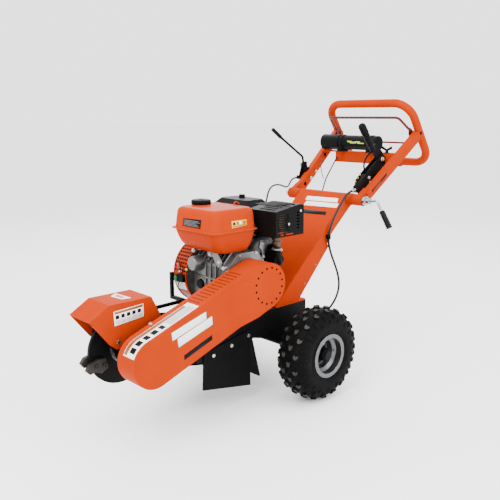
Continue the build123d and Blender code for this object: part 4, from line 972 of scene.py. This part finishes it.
def build_cowl():
    """Dark cowl over the cylinder with its bright stay, and the exhaust clamp."""
    shape = Shape()
    rings = []
    center_y, center_z = -112.0, 600.0
    for x, radius in ((40, 44), (44, 52), (52, 57), (66, 59), (90, 59), (98, 57), (103, 51), (105, 43)):
        ring = []
        for i in range(25):
            turn = math.radians(-12 + 204 * i / 24)
            ring.append((x, center_y - radius * 1.05 * math.cos(turn), center_z + radius * math.sin(turn)))
        rings.append(ring)
    shape.loft(rings)
    shape.piece("cylinder_cowl", "cowl_grey", smooth=True)
    fins = Shape()
    for i in range(7):
        x = 108 + 4.5 * i
        ring = [(-1.2, 10), (-1.2, 36 - i), (1.2, 36 - i), (1.2, 10)]
        fins.lathe((x, -74, 584), LEFT, ring, 36, closed=True)
    fins.lathe((106, -74, 584), LEFT, [(0, 20), (34, 20), (38, 16), (38, 6)], 28)
    fins.piece("exhaust_fins", "heat_black", smooth=True)
    stay = Shape()
    outline = [(-143, 640), (-93, 632), (-104, 616), (-118, 600)]
    outline += [(-119, 566), (-131, 566), (-136, 604), (-148, 612)]
    stay.prism_x(outline, 106, 110)
    stay.prism_x([(-146, 636), (-140, 644), (-96, 636), (-98, 630)], 90, 110)
    stay.piece("cowl_stay", "castings", bevel=1.0)
    screw_heads("stay_bolts", [(110, -134, 630), (110, -125, 574)], LEFT, 5, 5)
    clamp = Shape()
    band = [(-4, 15.5), (-4, 19.5), (-2, 20.5), (2, 20.5), (4, 19.5), (4, 15.5)]
    clamp.lathe((148, -90, 606), UP, band, 40, closed=True)
    clamp.piece("exhaust_clamp", "castings", smooth=True)
    screw_heads("exhaust_clamp_bolt", [(169, -86, 606)], LEFT, 4, 6)
    elbow = Shape()
    elbow.wire([(148, -90, 596), (148, -86, 566), (140, -64, 548), (112, -50, 546), (86, -50, 550)], 17, 20)
    elbow.lathe((150, -82, 560), (1, -0.2, -0.3), [(-4, 24), (4, 24), (6, 22), (6, 10)], 24)
    elbow.piece("exhaust_elbow", "heat_black", smooth=True)


def build_muffler_details():
    ridges = Shape()
    for i in range(5):
        y = -150 + 24 * i
        ridges.prism_x([(y, 785.5), (y + 9, 786.5), (y + 8, 790), (y + 1, 789)], 84, 206)
    ridges.piece("muffler_guard_ridges", "heat_black", bevel=1.2)
    screw_heads("muffler_guard_screws", [(220, -97, 716), (220, -30, 762)], LEFT, 3.6, 3, sides=18)


build_fan_details()
build_case_details()
build_cowl()
build_muffler_details()


# ---- handle details
def arm_at(along, across):
    """A point on the left arm's outer face by distance up from the pivot and across it."""
    slope = math.radians(38.7)
    y = 402 + along * math.cos(slope) - across * math.sin(slope)
    z = 765.5 + along * math.sin(slope) + across * math.cos(slope)
    return Vector((212 + 41 * (along / 457.2), y, z))


TUBE_Y, TUBE_Z = 602.0, 1003.0
COIL_STEPS, STEPS_PER_COIL = 120, 12
WELD_STEPS, WELD_RIPPLES = 60, 17


def build_handle_details():
    strip = [arm_at(*spot) for spot in rectangle(54, 166, -2, 8)]
    plate("arm_strip", strip, "label_dark", 0.6, "handle")
    strip_line = [arm_at(*spot) for spot in rectangle(60, 120, 2.4, 4.4)]
    plate("arm_strip_line", strip_line, "amber", 0.75, "handle")
    heads = [(-184.5, 489, 830), (-189.5, 533, 859)]
    screw_heads("quadrant_nuts", heads, LEFT, 7, 7, body="handle")
    bolts = [(181, 462, 858), (181, 472, 836), (181, 424, 806)]
    screw_heads("bracket_bolts", bolts, LEFT, 6, 6, body="handle")
    screw_heads("bracket_pivot_nut", [(181, 557, 936)], LEFT, 7.5, 9, body="handle")
    screw_heads("loop_bolts", [arm_at(450, 6)], LEFT, 7, 5, slot="black_paint", body="handle", sides=18)
    box = Shape()
    box.prism_x([(378, 824), (438, 876), (468, 866), (478, 822), (424, 802), (388, 806)], 159, 176)
    box.piece("cable_anchor", "black_paint", body="handle", bevel=2.0)
    brass = Shape()
    for y, z in ((396, 843), (412, 857), (428, 870)):
        brass.lathe((158, y, z), (-0.2, -0.62, 0.76), [(-2, 4.5), (3, 4.5), (4, 3), (8, 3), (9, 2)], 6)
    brass.lathe((159, 444, 846), (-1, 0, 0), [(0, 6), (3, 6), (4, 4), (5, 2)], 18)
    brass.piece("anchor_screws", "brass", body="handle")
    ferrule = Shape()
    sleeve = [(-4, 5), (-4, 8.5), (4, 8.5), (5, 6.8), (22, 6.4), (24, 5), (24, 4.4)]
    ferrule.lathe((166, 384, 806), AHEAD, sleeve, 20)
    ferrule.piece("cable_ferrule", "zinc", body="handle", smooth=True)
    hook = Shape()
    bend = ((506, 972), (482, 962), (456, 936), (447, 906), (462, 878), (482, 872))
    hook.wire([(160, y, z) for y, z in bend], 4.0, 10)
    hook.piece("lever_hook", "black_paint", body="brake_lever", smooth=True)
    ribs = Shape()
    low, high = Vector((171, 498, 976)), Vector((171, 424, 1068))
    for i in range(6):
        spot = low.lerp(high, 0.30 + 0.10 * i)
        ribs.lathe(spot, high - low, [(-2.2, 14.2), (-1.6, 15.9), (1.6, 15.9), (2.2, 14.2)], 28)
    ribs.piece("lever_grip_ribs", "grip", body="brake_lever", smooth=True)
    stripe = Shape()
    for x0, x1, start, end in ((-30, -6, 4, 14), (-14, 22, -4, 8), (16, 44, 2, 12), (30, 66, -6, 2)):
        rings = []
        for i in range(5):
            turn = math.radians(start + (end - start) * i / 4)
            rings.append([
                (x, TUBE_Y - radius * math.cos(turn), TUBE_Z + radius * math.sin(turn))
                for x, radius in ((x0, 33.7), (x1, 33.7), (x1, 34.4), (x0, 34.4))
            ])
        stripe.loft(rings)
    stripe.piece("tube_stripe", "lime", body="handle")
    strap = Shape()
    for x in (-74, 92):
        band = [(-7, 34.2), (-7, 36.6), (7, 36.6), (7, 34.2)]
        strap.lathe((x, TUBE_Y, TUBE_Z), LEFT, band, 48, closed=True)
        strap.loft([rounded_ring(x, 566, z, 9, 9, 3, 4) for z in (960.5, 972)])
    strap.piece("tube_straps", "black_plastic", body="handle", smooth=True)
    wing = Shape()
    wing.lathe((168, 608, 961), UP, [(-1, 12), (2, 12), (2.5, 8), (16, 7), (17, 4)], 18)
    for side in (1, -1):
        outline = [(168, 968), (168, 978), (168 + side * 26, 992), (168 + side * 29, 980)]
        wing.prism_y(outline, 604, 611)
    wing.piece("shelf_wing_nut", "dark_steel", body="handle", bevel=1.2)
    spring = Shape()
    coil = []
    for i in range(COIL_STEPS):
        turn = 2 * math.pi * i / STEPS_PER_COIL
        coil.append((-243 + 6 * math.cos(turn), 486 + 6 * math.sin(turn) + 0.02 * i, 838 + 0.42 * i))
    spring.tube(coil, 1.4, 6)
    spring.lathe((-243, 487, 890), (0, 0.1, 1), [(0, 7), (5, 7), (6, 5), (14, 5), (15, 3)], 6)
    spring.lathe((-243, 487, 834), UP, [(-8, 6), (-2, 6), (-1, 8), (3, 8), (4, 4)], 6)
    spring.piece("throttle_spring", "brass", body="handle")
    nut = Shape()
    nut.lathe((-247, 492, 892), (-1, 0, 0), [(0, 12), (2, 12), (2.5, 9), (9, 9), (10, 7), (10, 3)], 6)
    nut.piece("throttle_nut", "zinc", body="handle")
    branch = Shape()
    branch.wire([(-64, 440, 838), (-84, 448, 870), (-110, 470, 910), (-140, 520, 935)], 2.0)
    branch.piece("stop_wire_branch", "cable_sheath", body="handle", smooth=True)
    tab = Shape()
    tab.prism_y([(60, 902), (96, 902), (90, 884), (68, 880)], 856, 860)
    tab.piece("loop_tab", "orange_paint", body="handle", bevel=1.0)
    rivets = [(214, 745, 1045), (214, 728, 1062)]
    screw_heads("bail_rivets", rivets, LEFT, 4, 3, slot="dark_steel", body="bail", sides=14)
    weld = Shape()
    for side in (1, -1):
        seam = []
        for i in range(WELD_STEPS):
            turn = 2 * math.pi * i / WELD_STEPS
            radius = 25.6 + 0.5 * math.sin(WELD_RIPPLES * turn)
            seam.append((side * 150, 382 + radius * math.cos(turn), 765.5 + radius * math.sin(turn)))
        seam.append(seam[0])
        weld.tube(seam, 1.6, 6, caps=False)
    weld.piece("bush_welds", "orange_paint", smooth=True)


build_handle_details()


# ---- stage, light and camera
def build_stage():
    floor_mesh = bpy.data.meshes.new("floor")
    size = 60.0
    corners = [(x * size, y * size, 0) for x, y in ((-1, -1), (1, -1), (1, 1), (-1, 1))]
    floor_mesh.from_pydata(corners, [], [(0, 1, 2, 3)])
    floor = bpy.data.objects.new("floor", floor_mesh)
    bpy.context.scene.collection.objects.link(floor)
    material, tree, shader = new_material("floor")
    shader.inputs["Base Color"].default_value = (0.94, 0.94, 0.94, 1)
    shader.inputs["Roughness"].default_value = 0.7
    floor_mesh.materials.append(material)


def add_light(name, spot, target, size, power, color=(1, 1, 1)):
    data = bpy.data.lights.new(name, "AREA")
    data.size = size
    data.energy = power
    data.color = color
    light = bpy.data.objects.new(name, data)
    light.location = spot
    light.rotation_euler = (Vector(target) - Vector(spot)).to_track_quat("-Z", "Y").to_euler()
    bpy.context.scene.collection.objects.link(light)


build_stage()
add_light("key", (0.6, -3.4, 3.4), (0, -0.1, 0.5), 2.6, 210)
add_light("fill", (3.6, 0.6, 2.2), (0, 0, 0.6), 2.4, 115)
add_light("top", (0.4, -0.8, 3.6), (0, -0.1, 0.6), 2.0, 70)
add_light("rim", (-2.6, 2.0, 3.0), (0, 0, 0.7), 2.4, 80)
world = bpy.data.worlds.new("studio")
world.use_nodes = True
world.node_tree.nodes["Background"].inputs["Color"].default_value = (1, 1, 1, 1)
world.node_tree.nodes["Background"].inputs["Strength"].default_value = 2.6
bpy.context.scene.world = world

# the camera: sensor width, focal length as a share of it, and degrees down and round
SENSOR_WIDTH = 36.0
FOCAL_SHARE = 653.5 / 500.0
LOOKS_DOWN, HEADING = 11.551, 46.525
camera_data = bpy.data.cameras.new("camera")
camera_data.sensor_width = SENSOR_WIDTH
camera_data.lens = SENSOR_WIDTH * FOCAL_SHARE
camera = bpy.data.objects.new("camera", camera_data)
camera.location = at(1930.8, -1926.7, 1124.6)
camera.rotation_euler = (math.radians(90 - LOOKS_DOWN), 0, math.radians(HEADING))
bpy.context.scene.collection.objects.link(camera)
bpy.context.scene.camera = camera
